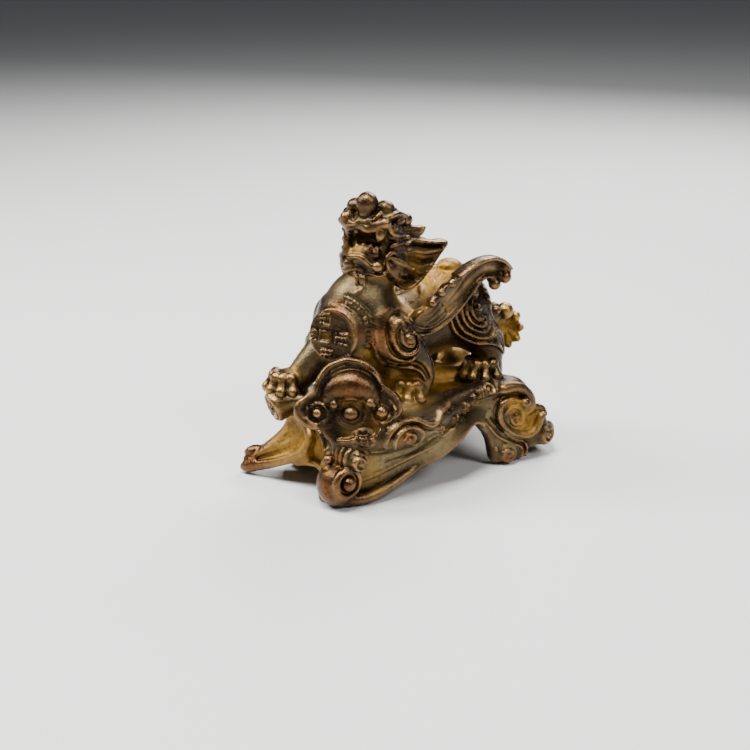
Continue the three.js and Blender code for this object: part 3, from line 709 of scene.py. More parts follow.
def strokes(clay, plane, corner, across, up, height, seed, half, depth, bars, posts):
    """A patch of short, shallow raised bars and posts. They stand for worn characters without being any."""
    dice = np.random.default_rng(seed)
    for row in range(bars):
        v = corner[1] + up * (row + 0.5) / bars
        start = corner[0] + across * dice.uniform(0.0, 0.4)
        end = corner[0] + across * dice.uniform(0.64, 1.0)
        tilt = dice.uniform(-0.14, 0.14) * up
        clay.carve(plane, ridge([[start, v], [end, v + tilt]], half, height), depth)
    for column in range(posts):
        u = corner[0] + across * ((column + 0.6) / (posts + 0.2) + dice.uniform(-0.06, 0.06))
        foot = [u, corner[1] + up * dice.uniform(0, 0.3)]
        top = [u + dice.uniform(-0.1, 0.1) * across, corner[1] + up * dice.uniform(0.7, 1)]
        clay.carve(plane, ridge([foot, top], half, height), depth)


def carve_stem(clay):
    """The cloud scroll with its trailing wave, and the rows of worn marks along the stem."""
    deep = (11.0, 20.0)
    outer = smooth([[-16.6, 12.2], [-16.2, 14.2], [-14.8, 15.9], [-12.2, 16.7], [-9.6, 16.5], [-7.8, 15.4],
                    [-6.2, 14.6], [-4.4, 15.0], [-3.2, 16.4], [-1.6, 16.9], [-0.2, 17.4]])
    clay.carve(SIDE, ridge(outer, 0.62, 0.7, 0.5), deep)
    clay.carve(SIDE, ridge(outer + np.array([0.3, -0.95]), 0.42, -0.45, 0.5), deep)
    ring = [[-14.4, 11.4], [-14.6, 13.2], [-13.4, 14.8], [-11.2, 15.4], [-9.2, 14.7], [-8.2, 13.2],
            [-8.6, 11.8], [-9.8, 11.0]]
    clay.roll(SIDE, ring, 0.6, 0.6, 0.6, deep)
    clay.carve(SIDE, ridge(whorl((-11.2, 12.7), 1.5, 0.6, 170, 1.1, -1), 0.42, 0.5, 0.7), deep)
    clay.carve(SIDE, dome((-11.2, 12.7), 0.6, 0.6), deep)
    band = (10.0, 20.0)
    for n, (u, v, across, up) in enumerate(STEM["marks"]):
        strokes(clay, SIDE, (u - across / 2, v - up / 2), across, up, 0.5, 40 + n, 0.24, band, 3, 2)
    clay.carve(SIDE, ridge(whorl((11.6, 17.3), 1.3, 0.3, 200, 1.3, -1), 0.3, 0.45, 0.7), band)
    for n in range(4):
        clay.carve(SIDE, ridge([[-5.6 + 0.9 * n, 10.9 + 0.1 * n], [-4.9 + 0.9 * n, 11.3 + 0.1 * n]], 0.22,
                               0.35), deep)
    under = Plane((12.4, -19.0, 13.2), 60, 10)
    near = (-3, 3)
    patch = [[-3.4, 0.6], [-2.4, 2.2], [-0.6, 2.7], [1.0, 1.9], [1.7, 0.3], [0.8, -1.1], [-1.2, -1.5],
             [-2.8, -0.9]]
    clay.carve(under, field_of(smooth(patch, 3, closed=True), 0.3, 0.5), near)
    for n in range(7):
        a = math.radians(-30 + 40 * n)
        clay.carve(under, dome((-0.9 + 1.9 * math.cos(a), 0.5 + 1.5 * math.sin(a)), 0.42, 0.25), near)
    strokes(clay, under, (-2.2, -0.6), 2.6, 2.2, 0.3, 77, 0.24, near, 3, 2)
    clay.carve(under, ridge([[0.4, -1.9], [2.0, -2.1], [3.4, -1.9]], 0.3, 0.4, 0.5), near)


def carve_skirt(clay):
    """The rolled lip along the skirt's lower left edge, the ridge above it and the groove under the stem."""
    lip = [[10.6, -23.2, 1.6], [12.2, -19, 1.4], [13.1, -14, 2.6], [13.4, -9, 4.4], [13.4, -4, 6.4],
           [13.2, 0, 8.6], [12.9, 3, 10.6]]
    clay.add(rod(lip, [1.2, 1.1, 1.0, 0.95, 0.85, 0.75, 0.6]), 0.4)
    rail = [[-19.6, 4.2], [-15, 5.4], [-10.4, 7.0], [-5.4, 9.0], [-1.6, 11.0], [1.4, 12.8]]
    clay.roll(SIDE, rail, 0.5, 0.3, 0.3, (8, 19))
    under = [[-14, 7.2], [-9, 8.2], [-6.9, 9.2], [-4.4, 10.8], [0, 12.5], [3.1, 13.8], [6.9, 15.1],
             [10.9, 15.9], [14, 16.1]]
    clay.roll(SIDE, under, 0.4, -0.45, 0.4, (9, 19))


# The beast

TRUNK = ([[-0.6, -8, 29.6], [0, -2, 29.2], [0, 5, 30], [0, 13, 31.4]], [8, 7.2, 7.7, 8.4])
CHEST = ([-0.6, -10.6, 31.2], [8.4, 8.4, 8.8])
NECK = ([[0, -10.6, 35], [1.1, -9.3, 40.4], [1.6, -7.6, 46]], [7.7, 4.9, 4.6])
COIN = {
    "plane": Plane((2.4, -18.9, 32.4), 22, 8), "middle": (-0.5, -0.3), "radius": 5.3, "thick": 3.6,
    "marks": [(-3.8, 0.8, 3.1, 2.9, 4, 3), (-0.3, -2.1, 3.8, 2.7, 3, 3), (-3.1, -4.9, 3.3, 2.0, 2, 3),
              (-5.6, -2.0, 1.7, 2.4, 3, 1)],
}
FORELEGS = [
    {"shoulder": ([6, -6.4, 30.8], [3.9, 5.2, 6.0], (-16, 0, 8)),
     "line": [[6.8, -5.2, 28.4], [7.8, -3.4, 25.4], [8.7, -1.9, 22.8], [9.0, -1.8, 20.6], [9.0, -2.8, 19]],
     "radii": [4.4, 3.5, 2.7, 2.2, 2.2], "paw": ([9.0, -4.7, 17.8], 0, (-42, 80), 4, 3.3, 3.8)},
    {"shoulder": ([-6, -9.6, 29.8], [3.8, 5.4, 6], (-24, 0, -8)),
     "line": [[-6.1, -11.6, 28.4], [-6.9, -15.4, 25], [-8.1, -18.6, 21.8], [-8.7, -20, 19.8]],
     "radii": [4.4, 3.7, 3.0, 2.5], "paw": ([-9.0, -22.0, 18.5], 4, (-70, 66), 5, 3.9, 4.1)},
]
HINDLEGS = [
    {"shoulder": ([4.4, 12.4, 31.8], [5.9, 7.5, 7.6], (0, 0, 2)),
     "line": [[7, 13.6, 28], [8.0, 16.0, 25.4], [8.7, 17.0, 22.8], [8.8, 16.8, 20.6], [8.9, 15.8, 19.4]],
     "radii": [4.6, 3.8, 3.1, 2.9, 2.8], "paw": ([9.0, 15.4, 17.9], 0, (-46, 88), 5, 4.1, 4.8)},
    {"shoulder": ([-4.4, 13.8, 31.4], [5.9, 8.0, 7.4], (0, 0, -2)),
     "line": [[-7, 16.4, 27.4], [-8.4, 20.6, 24.4], [-8.9, 21.8, 21.4], [-8.6, 20.8, 19.2]],
     "radii": [4.4, 3.0, 2.4, 2.2], "paw": ([-8.4, 18.0, 17.3], 0, (-80, 42), 4, 3.3, 3.8)},
]


def paw(clay, at, yaw, spread, toes, wide, long):
    """A cushioned foot: a fan of toes, each a high knuckle over a lower one."""
    x, y, z = at
    clay.add(ball([x, y, z + 1.3], [wide * 0.9, long * 0.9, 3.2], (0, 0, yaw)), 0.7)
    for n in range(toes):
        a = math.radians(yaw + spread[0] + (spread[1] - spread[0]) * n / (toes - 1))
        way = np.array([wide * math.sin(a), -long * math.cos(a)])
        knuckle = [x + 0.68 * way[0], y + 0.68 * way[1], z + 3.3]
        tip = [x + way[0], y + way[1], z + 1.0]
        clay.add(rod([knuckle, tip], [0.95, 1.0]), 0.2)
        clay.add(ball(knuckle, 1.22), 0.12)
        clay.add(ball(tip, [1.25, 1.25, 1.2]), 0.12)


def leg(clay, shape):
    clay.add(ball(*shape["shoulder"]), 1.2)
    clay.add(rod(shape["line"], shape["radii"]), 1.2)
    paw(clay, *shape["paw"])


def body(clay):
    """Trunk, chest and neck, with the knobs and tufts of the spine."""
    clay.add(rod(*TRUNK), 0.0)
    clay.add(ball(*CHEST), 2.0)
    clay.add(rod(*NECK), 2.4)
    clay.add(ball([4.0, -5.8, 22.8], [4.0, 4.2, 5.0]), 1.5)
    clay.add(ball([0, 13.6, 40.0], [2.5, 2.9, 1.7], (-8, 0, 0)), 0.5)
    clay.add(ball([0, 9.4, 38.2], [2.2, 2.4, 1.1], (-18, 0, 0)), 0.5)
    clay.add(ball([0, 17.4, 38.2], [1.8, 2.2, 1.4], (24, 0, 0)), 0.5)
    top = Plane((0, 6, 37), 0, 78)
    for u, v in ((-2.2, 3.2), (2.0, 3.4), (-2.6, 0.4), (2.6, 0.4), (-2.4, -2.8), (2.4, -2.8)):
        tuft = [[u * 0.35, v + 1.4], [u * 0.9, v + 0.8], [u * 1.35, v - 0.6]]
        clay.roll(top, tuft, 0.75, 0.45, 0.3, (-5, 4))
    clay.carve(top, ridge([[0, -7.5], [0, 5]], 1.2, 0.4, 0.4), (-5, 4))


SHOULDERS = ((Plane((9.6, -6.4, 31.2), 80), 1), (Plane((-9.8, -9.6, 30.4), -80), -1))
HAUNCHES = ((Plane((10, 13.4, 32.6), 90), 1), (Plane((-10, 14.4, 32.2), -90), -1))
LIMB_REACH = (-5.5, 3.0)
BOSS = [
    [0.8, 3.2], [-0.6, 5.0], [-2.8, 6.1], [-5.2, 6.0], [-7.0, 4.6], [-7.8, 2.4], [-7.6, 0.0], [-6.6, -2.6],
    [-4.8, -4.6], [-2.4, -5.4], [0.0, -5.0], [1.4, -3.4], [1.9, -1.2], [1.7, 1.2],
]
SPIRAL = [  # rolls and grooves, as (points, half width, height, share of the width at the ends)
    ([[0.4, 3.6], [-1.0, 4.7], [-2.8, 4.8], [-4.1, 4.0], [-4.7, 2.6], [-4.7, 0.6], [-4.2, -1.4], [-3.0, -3.2],
      [-1.2, -4.0], [0.6, -3.6], [1.6, -2.2]], 0.5, -0.75, 0.6),
    ([[0.6, 2.4], [-0.4, 3.6], [-2.0, 3.9], [-3.2, 3.1], [-3.8, 1.6], [-3.7, -0.2], [-2.9, -1.9],
      [-1.5, -3.0], [0.1, -2.9], [1.2, -1.9], [1.5, -0.4], [1.1, 1.0], [0.1, 2.0]], 0.5, 0.4, 0.6),
    ([[-1.0, 2.6], [-2.2, 2.0], [-2.8, 0.8], [-2.5, -0.9], [-1.4, -2.0], [0.1, -2.1], [0.9, -1.0],
      [0.9, 0.3]],
     0.38, -0.6, 0.5),
    ([[-1.9, 1.2], [-1.9, -0.1], [-1.3, -1.1], [-0.2, -1.4], [0.5, -0.6], [0.4, 0.6], [-0.3, 1.4],
      [-1.2, 1.6]],
     0.4, 0.3, 0.7),
    ([[-3.0, 2.8], [-2.6, 3.6], [-1.6, 3.4], [-1.3, 2.6], [-2.0, 2.2]], 0.38, 0.4, 0.7),
]
ARM_FLAMES = [
    ([[-7.8, 0.0], [-6.8, -3.0], [-5.0, -5.2], [-2.6, -6.2], [-0.2, -6.3], [1.3, -6.7], [2.6, -7.8],
      [3.6, -9.6]],
     0.5, 0.5, 0.4),
    ([[-4.4, -4.2], [-2.0, -5.2], [0.2, -5.3], [1.8, -5.8], [3.1, -6.8], [4.0, -8.2], [4.6, -9.4]], 0.6, -0.7,
     0.4),
]
LOOPS = (
    [[-2.6, 3.2], [-3.1, 1.6], [-2.8, -0.2], [-1.4, -1.5], [0.0, -1.0]],
    [[-3.6, 3.6], [-4.2, 1.6], [-4.0, -0.4], [-2.8, -2.1], [-1.2, -2.8], [0.1, -2.3], [0.5, -1.2]],
    [[-4.4, 4.0], [-5.2, 1.8], [-4.9, -0.8], [-3.5, -2.8], [-1.4, -3.9], [0.4, -3.8], [1.3, -2.6]],
    [[-5.6, 3.4], [-6.4, 1.2], [-6.0, -1.4], [-4.3, -3.8], [-1.9, -5.1], [0.2, -5.3], [1.7, -4.6],
     [2.2, -3.4]],
    [[-7.2, 1.4], [-7.2, -1.1], [-6.2, -3.5], [-4.2, -5.3], [-2.2, -6.4], [-0.2, -6.6], [1.4, -6.9],
     [3.2, -7.8], [5.1, -9.7]],
)
HOCK_FLAMES = [
    ([[0.4, -6.0], [1.7, -4.9], [3.2, -4.3], [4.6, -5.0], [5.9, -6.6], [6.5, -8.6], [6.4, -10.6]], 0.45, 0.45,
     0.5),
    ([[1.6, -6.0], [3.0, -5.9], [4.4, -7.0], [5.4, -8.6]], 0.6, -0.5, 0.4),
]


def rolls(clay, plane, hand, rows, depth):
    """Carves rows of (points, half width, height, share of it at the ends), mirrored when the hand is -1."""
    for points, half, height, ends in rows:
        clay.roll(plane, flipped(points, hand), half, height, ends, depth)


def carve_shoulder(clay, plane, hand):
    """The double spiral on the shoulder, its ball, and the flame line that runs down the arm."""
    clay.carve(plane, field_of(smooth(flipped(BOSS, hand)), 0.8, 1.3), (-8, 3))
    rolls(clay, plane, hand, SPIRAL, LIMB_REACH)
    clay.carve(plane, dome((-0.5 * hand, 0.05), 0.95, 1.0), LIMB_REACH)
    rolls(clay, plane, hand, ARM_FLAMES, LIMB_REACH)
    crease = [[1.7, 0.6], [3.1, -1.2], [4.7, -3.9], [5.5, -6.3], [5.7, -8.6]]
    clay.roll(plane, flipped(crease, hand), 0.4, -0.3, 0.5, (-6, 3))


def carve_haunch(clay, plane, hand):
    """The nested loops on the haunch, their beads, and the flame lines that run down to the hock."""
    for n, line in enumerate(LOOPS):
        clay.roll(plane, flipped(line, hand), 0.5, 0.6, 0.5, LIMB_REACH)
        if n:
            inner = (np.array(LOOPS[n - 1][:5]) + np.array(line[:5])) / 2
            clay.roll(plane, flipped(inner, hand), 0.34, -0.45, 0.5, LIMB_REACH)
    clay.carve(plane, dome((-1.3 * hand, 0.9), 0.85, 0.85), LIMB_REACH)
    clay.carve(plane, dome((-1.5 * hand, 4.2), 1.1, 0.9), LIMB_REACH)
    thigh = [[-1.8, 6.9], [0.4, 6.4], [1.8, 4.2], [2.4, 1.6], [3.0, -0.8], [4.6, -3.2], [6.0, -6.0]]
    clay.roll(plane, flipped(thigh, hand), 0.45, 0.35, 0.5, LIMB_REACH)
    for u, v in ((0.6, 6.6), (1.5, 5.4), (2.1, 4.0), (2.6, 2.5), (3.0, 1.0)):
        clay.carve(plane, dome((u * hand, v), 0.6, 0.5), LIMB_REACH)
    rolls(clay, plane, hand, HOCK_FLAMES, LIMB_REACH)


def coin(clay):
    """The coin on the chest with its rim, square eye and worn strokes, and the engraved collar behind it."""
    plane, middle, radius, thick = (COIN[k] for k in ("plane", "middle", "radius", "thick"))
    back = Plane(plane.point(0, 0, -1.4), 22, 8)
    clay.disc(back, circle(5.7, 24, (-0.4, -0.2)), -4.6, -0.4, 1.6, 1.6)
    clay.disc(plane, circle(radius, 24, middle), -thick, 0.1, 0.8, 0.8)
    inner = circle(radius - 0.5, 24, middle)
    clay.cut(plate(inner[:-1], plane, -0.2, 2.0, 0.15, 2), 0.2)
    reach = (-1.6, 1.4)
    u, v = -2.1, -0.8
    corners = ((-1, -1), (1, -1), (1, 1), (-1, 1), (-1, -1))
    square = np.array([[u + 1.15 * across, v + up] for across, up in corners])
    clay.carve(plane, ridge(square, 0.34, 0.5), reach)
    clay.carve(plane, field_of(square[:-1], -0.4, 0.3), reach)
    for n, (left, low, across, up, bars, posts) in enumerate(COIN["marks"]):
        strokes(clay, plane, (left, low), across, up, 0.4, 31 + n, 0.26, reach, bars, posts)
    for band in (5.9, 7.5):
        clay.carve(back, ridge(arc((-0.2, 0.2), band, -28, 84, 24), 0.24, -0.32, 0.6), (-7, 1.5))
    for n in range(13):
        a = math.radians(-24 + 8.4 * n)
        ring = np.array([-0.2 + 6.7 * math.cos(a), 0.2 + 6.7 * math.sin(a)])
        along = np.array([-math.sin(a), math.cos(a)]) * 0.42
        outward = np.array([math.cos(a), math.sin(a)]) * 0.5
        flip = 1 if n % 2 else -1
        clay.carve(back, ridge([ring - outward, ring + outward + along * 0.5 * flip], 0.19, -0.26), (-7, 1.5))
        clay.carve(back, ridge([ring - along + outward * 0.4 * flip, ring + along], 0.17, -0.24), (-7, 1.5))


WING = {
    "outline": [
        [-6.2, 32], [-5.8, 34.4], [-4.4, 36.2], [-2.6, 36.6], [-1.6, 38.2], [0.2, 38.6], [1.6, 40.4],
        [3.4, 40.9], [5, 42.4], [8.4, 44.1], [12.7, 44.7], [16.6, 43.5], [19.4, 41.2], [20.0, 39.6],
        [18.8, 38.4], [17.4, 38.4], [16.2, 37.6], [15.0, 38.2], [13.4, 39.8], [11.5, 39.6], [9.9, 38.5],
        [8.2, 36.4], [6.4, 34.2], [4, 32.2], [1.6, 31], [-1.4, 30.2], [-4.2, 30.6],
    ],
    "x": 7.6, "base": 30.0, "lean": 0.22, "thick": 2.2,
}
WING_LINES = [  # two hollows, three feather lines and three ridges
    ([[3.0, 35.4], [5.4, 37.6], [8.0, 40.2], [10.6, 41.7], [13.6, 42.0], [16.6, 41.0]], 2.4, -0.9, 0.5),
    ([[1.4, 36.6], [3.0, 38.6], [5.0, 40.8]], 1.4, -0.7, 0.4),
    ([[-4.4, 33.8], [-2.2, 33.6], [-0.2, 34.6], [1.2, 36.2], [2.0, 38.0]], 0.36, 0.3, 0.3),
    ([[-4.0, 34.9], [-2.2, 34.9], [-0.8, 35.8], [0.2, 37.2]], 0.36, 0.3, 0.3),
    ([[-3.2, 33.0], [-0.4, 33.0], [2.0, 34.4], [3.6, 36.4]], 0.36, 0.3, 0.3),
    ([[-6.0, 32.2], [-3.8, 31.2], [-1.4, 30.9], [1.4, 31.6], [4, 32.9], [6.4, 34.9], [8.4, 37.2],
      [10.2, 39.2], [12, 40.2], [13.8, 40.2]], 0.55, 0.6, 0.5),
    ([[-5.6, 33.5], [-3.6, 32.5], [-1.2, 32.1], [1.2, 32.8], [3.6, 34.1], [5.2, 35.5]], 0.4, 0.4, 0.5),
    ([[4.6, 41.8], [8.4, 43.5], [12.7, 44.1], [16.8, 42.8], [19.4, 40.9]], 0.55, 0.6, 0.5),
]
WING_BEADS = [(-1.6, 37.4, 0.9), (0.4, 39.2, 0.9), (2.8, 40.6, 0.9), (15.3, 38.3, 1.3), (18.0, 39.3, 1.35)]


def wing(clay, side):
    """A hollowed blade that leans out as it rises, with feather lines, a double lower ridge and beads."""
    plane = Plane((side * WING["x"], 0, 0), 90 * side)

    def lean(u, v):
        return WING["lean"] * (v - WING["base"])

    clay.add(plate(flipped(WING["outline"], side), plane, 0, WING["thick"], 0.7, 3, lean), 0.5)
    rolls(clay, plane, side, WING_LINES, (-1.0, 8.0))
    for y, z, r in WING_BEADS:
        clay.add(ball([side * (WING["x"] + lean(0, z) + 2.0), y, z], r), 0.1)


HEAD_YAW = 25
HEAD = Plane((1.3, -7.8, 48.6), HEAD_YAW)


def head_point(p, side=1):
    """A point of the head from its leftward, forward and upward distances, mirrored when the side is -1."""
    return HEAD.point(side * p[0], p[2], p[1])


def head_tools(clay, side=1):
    """Three ways to shape the head, mirrored when the side is -1: a lump, a raised line and a groove."""
    def lump(p, r, blend):
        clay.add(ball(head_point(p, side), r, (0, 0, HEAD_YAW)), blend)

    def line(points, radii, blend):
        clay.add(rod([head_point(p, side) for p in points], radii), blend)

    def groove(points, radii, blend):
        clay.cut(rod([head_point(p, side) for p in points], radii), blend)

    return lump, line, groove


def cheek(clay, side):
    """One side of the head: eye, brow, cheek and jaw rolls, beads, and the tufts of the jaw."""
    lump, line, groove = head_tools(clay, side)
    lump((3.0, 1.9, 7.2), (1.9, 1.8, 1.6), 0.2)
    lump((3.4, 0.8, 6.0), (1.8, 2.2, 1.5), 0.5)
    line([(3.9, 3.6, 5.9), (4.8, 3.0, 6.1), (5.1, 1.2, 6.2), (5.3, -0.9, 5.6), (5.2, -2.6, 4.8),
          (5.1, -3.8, 3.9)], [0.4, 0.55, 0.6, 0.6, 0.6, 0.45], 0.15)
    lump((5.0, 0.2, 4.7), (1.2, 1.6, 1.0), 0.2)
    groove([(6.2, 1.6, 3.7), (6.3, -0.4, 3.4), (6.1, -2.2, 3.6)], [0.25, 0.4, 0.3], 0.15)
    lump((5.3, -3.4, 4.2), (1.0, 1.4, 1.2), 0.2)
    lump((4.8, 2.2, 3.7), (1.0, 1.2, 0.95), 0.2)
    lump((4.6, 0.6, 2.2), (1.6, 2.4, 1.6), 0.4)
    line([(5.2, 2.9, 2.7), (5.7, 1.2, 2.2), (5.8, -0.8, 1.6), (5.8, -2.6, 0.8), (5.6, -3.8, 0.0)],
         [0.5, 0.7, 0.75, 0.7, 0.5], 0.15)
    groove([(5.4, 3.4, 1.4), (6.2, 1.4, 1.0), (6.4, -0.8, 0.6), (6.3, -2.8, -0.2)], [0.25, 0.35, 0.35, 0.25],
           0.15)
    lump((4.6, -0.4, -0.4), (1.5, 3.2, 1.8), 0.4)
    line([(4.9, 3.2, 0.3), (5.6, 2.0, 0.6), (5.8, -0.2, 0.4), (5.9, -2.2, -0.4), (5.8, -4.0, -1.6),
          (5.7, -3.6, -2.4), (5.8, -2.2, -2.2), (5.8, -1.3, -1.6)],
         [0.35, 0.5, 0.6, 0.62, 0.55, 0.45, 0.45, 0.4], 0.12)
    lump((5.6, -1.0, -0.9), 0.55, 0.15)
    lump((4.3, -0.6, -2.6), (1.5, 3.6, 3.0), 0.5)
    lump((4.7, 0.4, -4.0), (2.0, 3.9, 2.8), 0.2)
    line([(4.9, 4.0, -1.5), (5.9, 2.8, -2.5), (6.5, 1.2, -3.5), (6.7, -0.6, -4.4), (6.5, -2.3, -5.5),
          (6.0, -3.4, -6.6)], [0.35, 0.5, 0.6, 0.62, 0.55, 0.4], 0.15)
    line([(4.6, 4.4, -1.5), (4.8, 4.4, -3.3), (5.3, 3.3, -5.0), (5.7, 1.6, -6.3), (5.8, -0.6, -7.2),
          (5.8, -2.8, -7.4), (5.8, -4.6, -6.8)], [0.35, 0.42, 0.48, 0.5, 0.5, 0.48, 0.35], 0.08)
    groove([(5.6, 2.6, -4.4), (6.3, 1.0, -5.6), (6.3, -1.2, -6.3), (6.2, -3.4, -6.0)],
           [0.25, 0.35, 0.35, 0.25], 0.1)
    for f in (1.6, 0.5, -0.6):
        line([(6.2, f, -4.8 + 0.3 * f), (6.2, f - 0.3, -5.8 + 0.3 * f)], [0.28, 0.38], 0.1)
    line([(3.2, 5.1, -5.1), (3.9, 4.8, -4.9), (4.4, 4.2, -4.2), (4.5, 4.0, -3.0), (4.5, 4.2, -2.0),
          (4.8, 4.0, -1.1), (5.3, 3.2, -0.8), (5.5, 2.0, -1.5), (5.5, 1.4, -2.3)],
         [0.4, 0.42, 0.42, 0.4, 0.38, 0.38, 0.4, 0.38, 0.3], 0.12)
    for start, middle, end in (((5.1, -2.4, -7.0), (5.3, -4.0, -7.6), (4.9, -5.6, -8.0)),
                               ((5.1, -3.8, -6.4), (5.3, -5.6, -7.0), (4.9, -7.0, -7.4))):
        line([start, middle, end], [0.6, 0.65, 0.3], 0.12)
    lump((3.05, 5.4, -3.3), 1.1, 0.12)
    lump((4.2, -1.4, -5.8), (1.2, 3.6, 1.8), 0.6)


def head(clay):
    """The upturned head: gaping mouth, lips, fangs, ball on the nose, brows, cheeks, chin and beard."""
    lump, line, groove = head_tools(clay)
    lump((0, -2.0, 1), (5.0, 5.4, 5.8), 1.5)
    lump((0, 1.0, 4.6), (4.4, 4.6, 2.4), 1.0)
    lump((0, 1.6, -3.8), (4.3, 4.4, 2.5), 1.0)
    clay.cut(ball(head_point((-0.4, 5.9, 1.3)), (4.2, 4.0, 2.9), (0, 0, HEAD_YAW)), 0.5)
    clay.cut(ball(head_point((-0.2, 3.6, 2.2)), (3.2, 2.6, 1.3), (0, 0, HEAD_YAW)), 0.5)
    lump((-0.2, 3.4, -1.5), (3.3, 2.3, 2.1), 0.6)
    line([(-3.4, 4.0, 4.3), (-1.8, 4.5, 4.3), (-0.2, 4.8, 4.4), (1.4, 4.8, 4.3), (3.0, 4.3, 4.6)],
         [1.0, 1.1, 1.1, 1.1, 1.0], 0.5)
    line([(-4.5, 4.2, 3.9), (-3.5, 4.8, 3.6), (-2.6, 5.0, 3.6), (-1.2, 5.1, 4.2), (-0.2, 5.3, 4.1),
          (1.0, 5.4, 3.6), (2.2, 5.1, 3.8), (3.0, 4.8, 4.5), (3.9, 4.4, 4.6), (4.6, 3.6, 4.0),
          (5.0, 3.2, 3.0)],
         [0.6, 0.65, 0.62, 0.62, 0.65, 0.65, 0.65, 0.75, 0.8, 0.65, 0.45], 0.25)
    line([(3.1, 4.3, 3.4), (3.2, 4.5, 2.4), (2.9, 4.4, 1.6)], [0.9, 0.85, 0.5], 0.25)
    for l, f, u, r in ((-3.4, 4.3, 2.9, 0.7), (1.2, 4.7, 3.0, 0.6), (-1.6, 4.6, 3.1, 0.6)):
        lump((l, f, u), (r, r, r * 1.2), 0.25)
    line([(-4.1, 3.6, 2.4), (-4.1, 4.1, 0.6), (-4.2, 4.2, -1.6)], [0.8, 0.7, 0.7], 0.4)
    line([(-3.5, 4.2, -0.4), (-3.6, 4.4, -1.6)], [0.45, 0.6], 0.25)
    line([(-2.7, 4.5, -0.9), (-2.8, 4.7, -1.8)], [0.4, 0.6], 0.25)
    for l, u in ((-1.6, 0.0), (-0.2, 0.2), (1.2, 0.2), (2.4, -0.2)):
        line([(l, 4.7, u - 1.0), (l * 1.02, 4.4, u + 0.2)], [0.75, 0.5], 0.3)

    lump((0.1, 3.6, 8.2), (2.15, 2.15, 2.3), 0.2)
    line([(0.1, 3.6, 7.4), (0, 4.5, 5.9), (0, 4.9, 4.9)], [1.7, 1.35, 1.2], 0.45)
    groove([(-1.5, 5.3, 6.6), (-0.8, 5.7, 6.0), (0.4, 5.7, 5.9), (1.3, 5.2, 6.5)], [0.25, 0.4, 0.4, 0.25],
           0.25)
    groove([(-1.4, 5.9, 4.8), (0.0, 6.1, 5.0), (1.2, 5.7, 4.7)], [0.2, 0.3, 0.2], 0.25)
    lump((-3.5, 4.7, 5.4), (1.5, 1.5, 1.5), 0.3)
    line([(-5.0, 4.4, 4.8), (-3.8, 5.3, 4.5), (-2.4, 5.6, 4.6), (-0.9, 5.4, 5.0)], [0.7, 0.8, 0.75, 0.5], 0.2)
    groove([(-2.6, 5.6, 5.9), (-1.7, 5.9, 5.4), (-1.2, 5.4, 6.2)], [0.3, 0.4, 0.3], 0.2)
    line([(1.0, 4.9, 5.0), (1.9, 4.7, 5.4), (2.6, 4.3, 6.1), (2.9, 3.8, 6.5), (3.6, 3.6, 6.0)],
         [0.6, 0.65, 0.6, 0.5, 0.4], 0.2)
    groove([(1.7, 5.0, 6.2), (2.1, 4.4, 6.7)], [0.45, 0.4], 0.2)
    lump((4.1, 4.2, 4.9), (1.15, 1.15, 1.1), 0.25)
    for side in (-1, 1):
        cheek(clay, side)
    lump((-4.5, -1.4, -4.2), (2.1, 4.6, 3.6), 0.6)
    lump((-4.9, -1.6, 0.4), (1.5, 4.0, 3.0), 0.6)
    line([(-4.3, 4.6, -4.0), (-3.9, 5.0, -3.0), (-3.3, 5.4, -2.4), (-2.5, 5.7, -1.8), (-1.6, 5.8, -1.7),
          (-0.5, 5.9, -1.6), (0.5, 5.9, -2.0), (1.3, 5.8, -2.7), (1.9, 5.6, -3.5), (2.2, 5.4, -4.3)],
         [0.4, 0.42, 0.5, 0.55, 0.55, 0.55, 0.55, 0.5, 0.45, 0.35], 0.15)
    line([(-2.0, 5.0, -3.2), (0, 5.3, -3.0), (1.2, 5.0, -3.8)], [0.9, 1.0, 0.8], 0.4)
    line([(-4.6, 4.6, -4.4), (-3.6, 5.2, -4.8), (-2.6, 5.5, -4.5), (-1.2, 5.7, -4.0), (0.4, 5.6, -4.5),
          (1.8, 5.4, -4.8), (3.4, 5.2, -5.1), (4.3, 4.6, -4.7)],
          [0.5, 0.48, 0.45, 0.45, 0.45, 0.45, 0.42, 0.35], 0.15)
    groove([(-1.6, 6.0, -3.0), (-0.2, 6.3, -3.1), (1.0, 6.1, -3.8)], [0.35, 0.45, 0.35], 0.25)
    for low, high, end in ((-1.5, -1.0, -0.8), (-0.5, -0.1, 0.1), (0.4, 0.6, 0.7)):
        line([(low, 5.9, -4.8), (high, 6.3, -6.0), (end, 6.2, -7.3)], [0.32, 0.38, 0.22], 0.03)
    line([(0.4, 6.2, -7.6), (-0.1, 6.8, -8.1), (-0.6, 7.2, -8.8), (-0.9, 7.5, -9.4)], [0.4, 0.6, 0.6, 0.3],
         0.1)


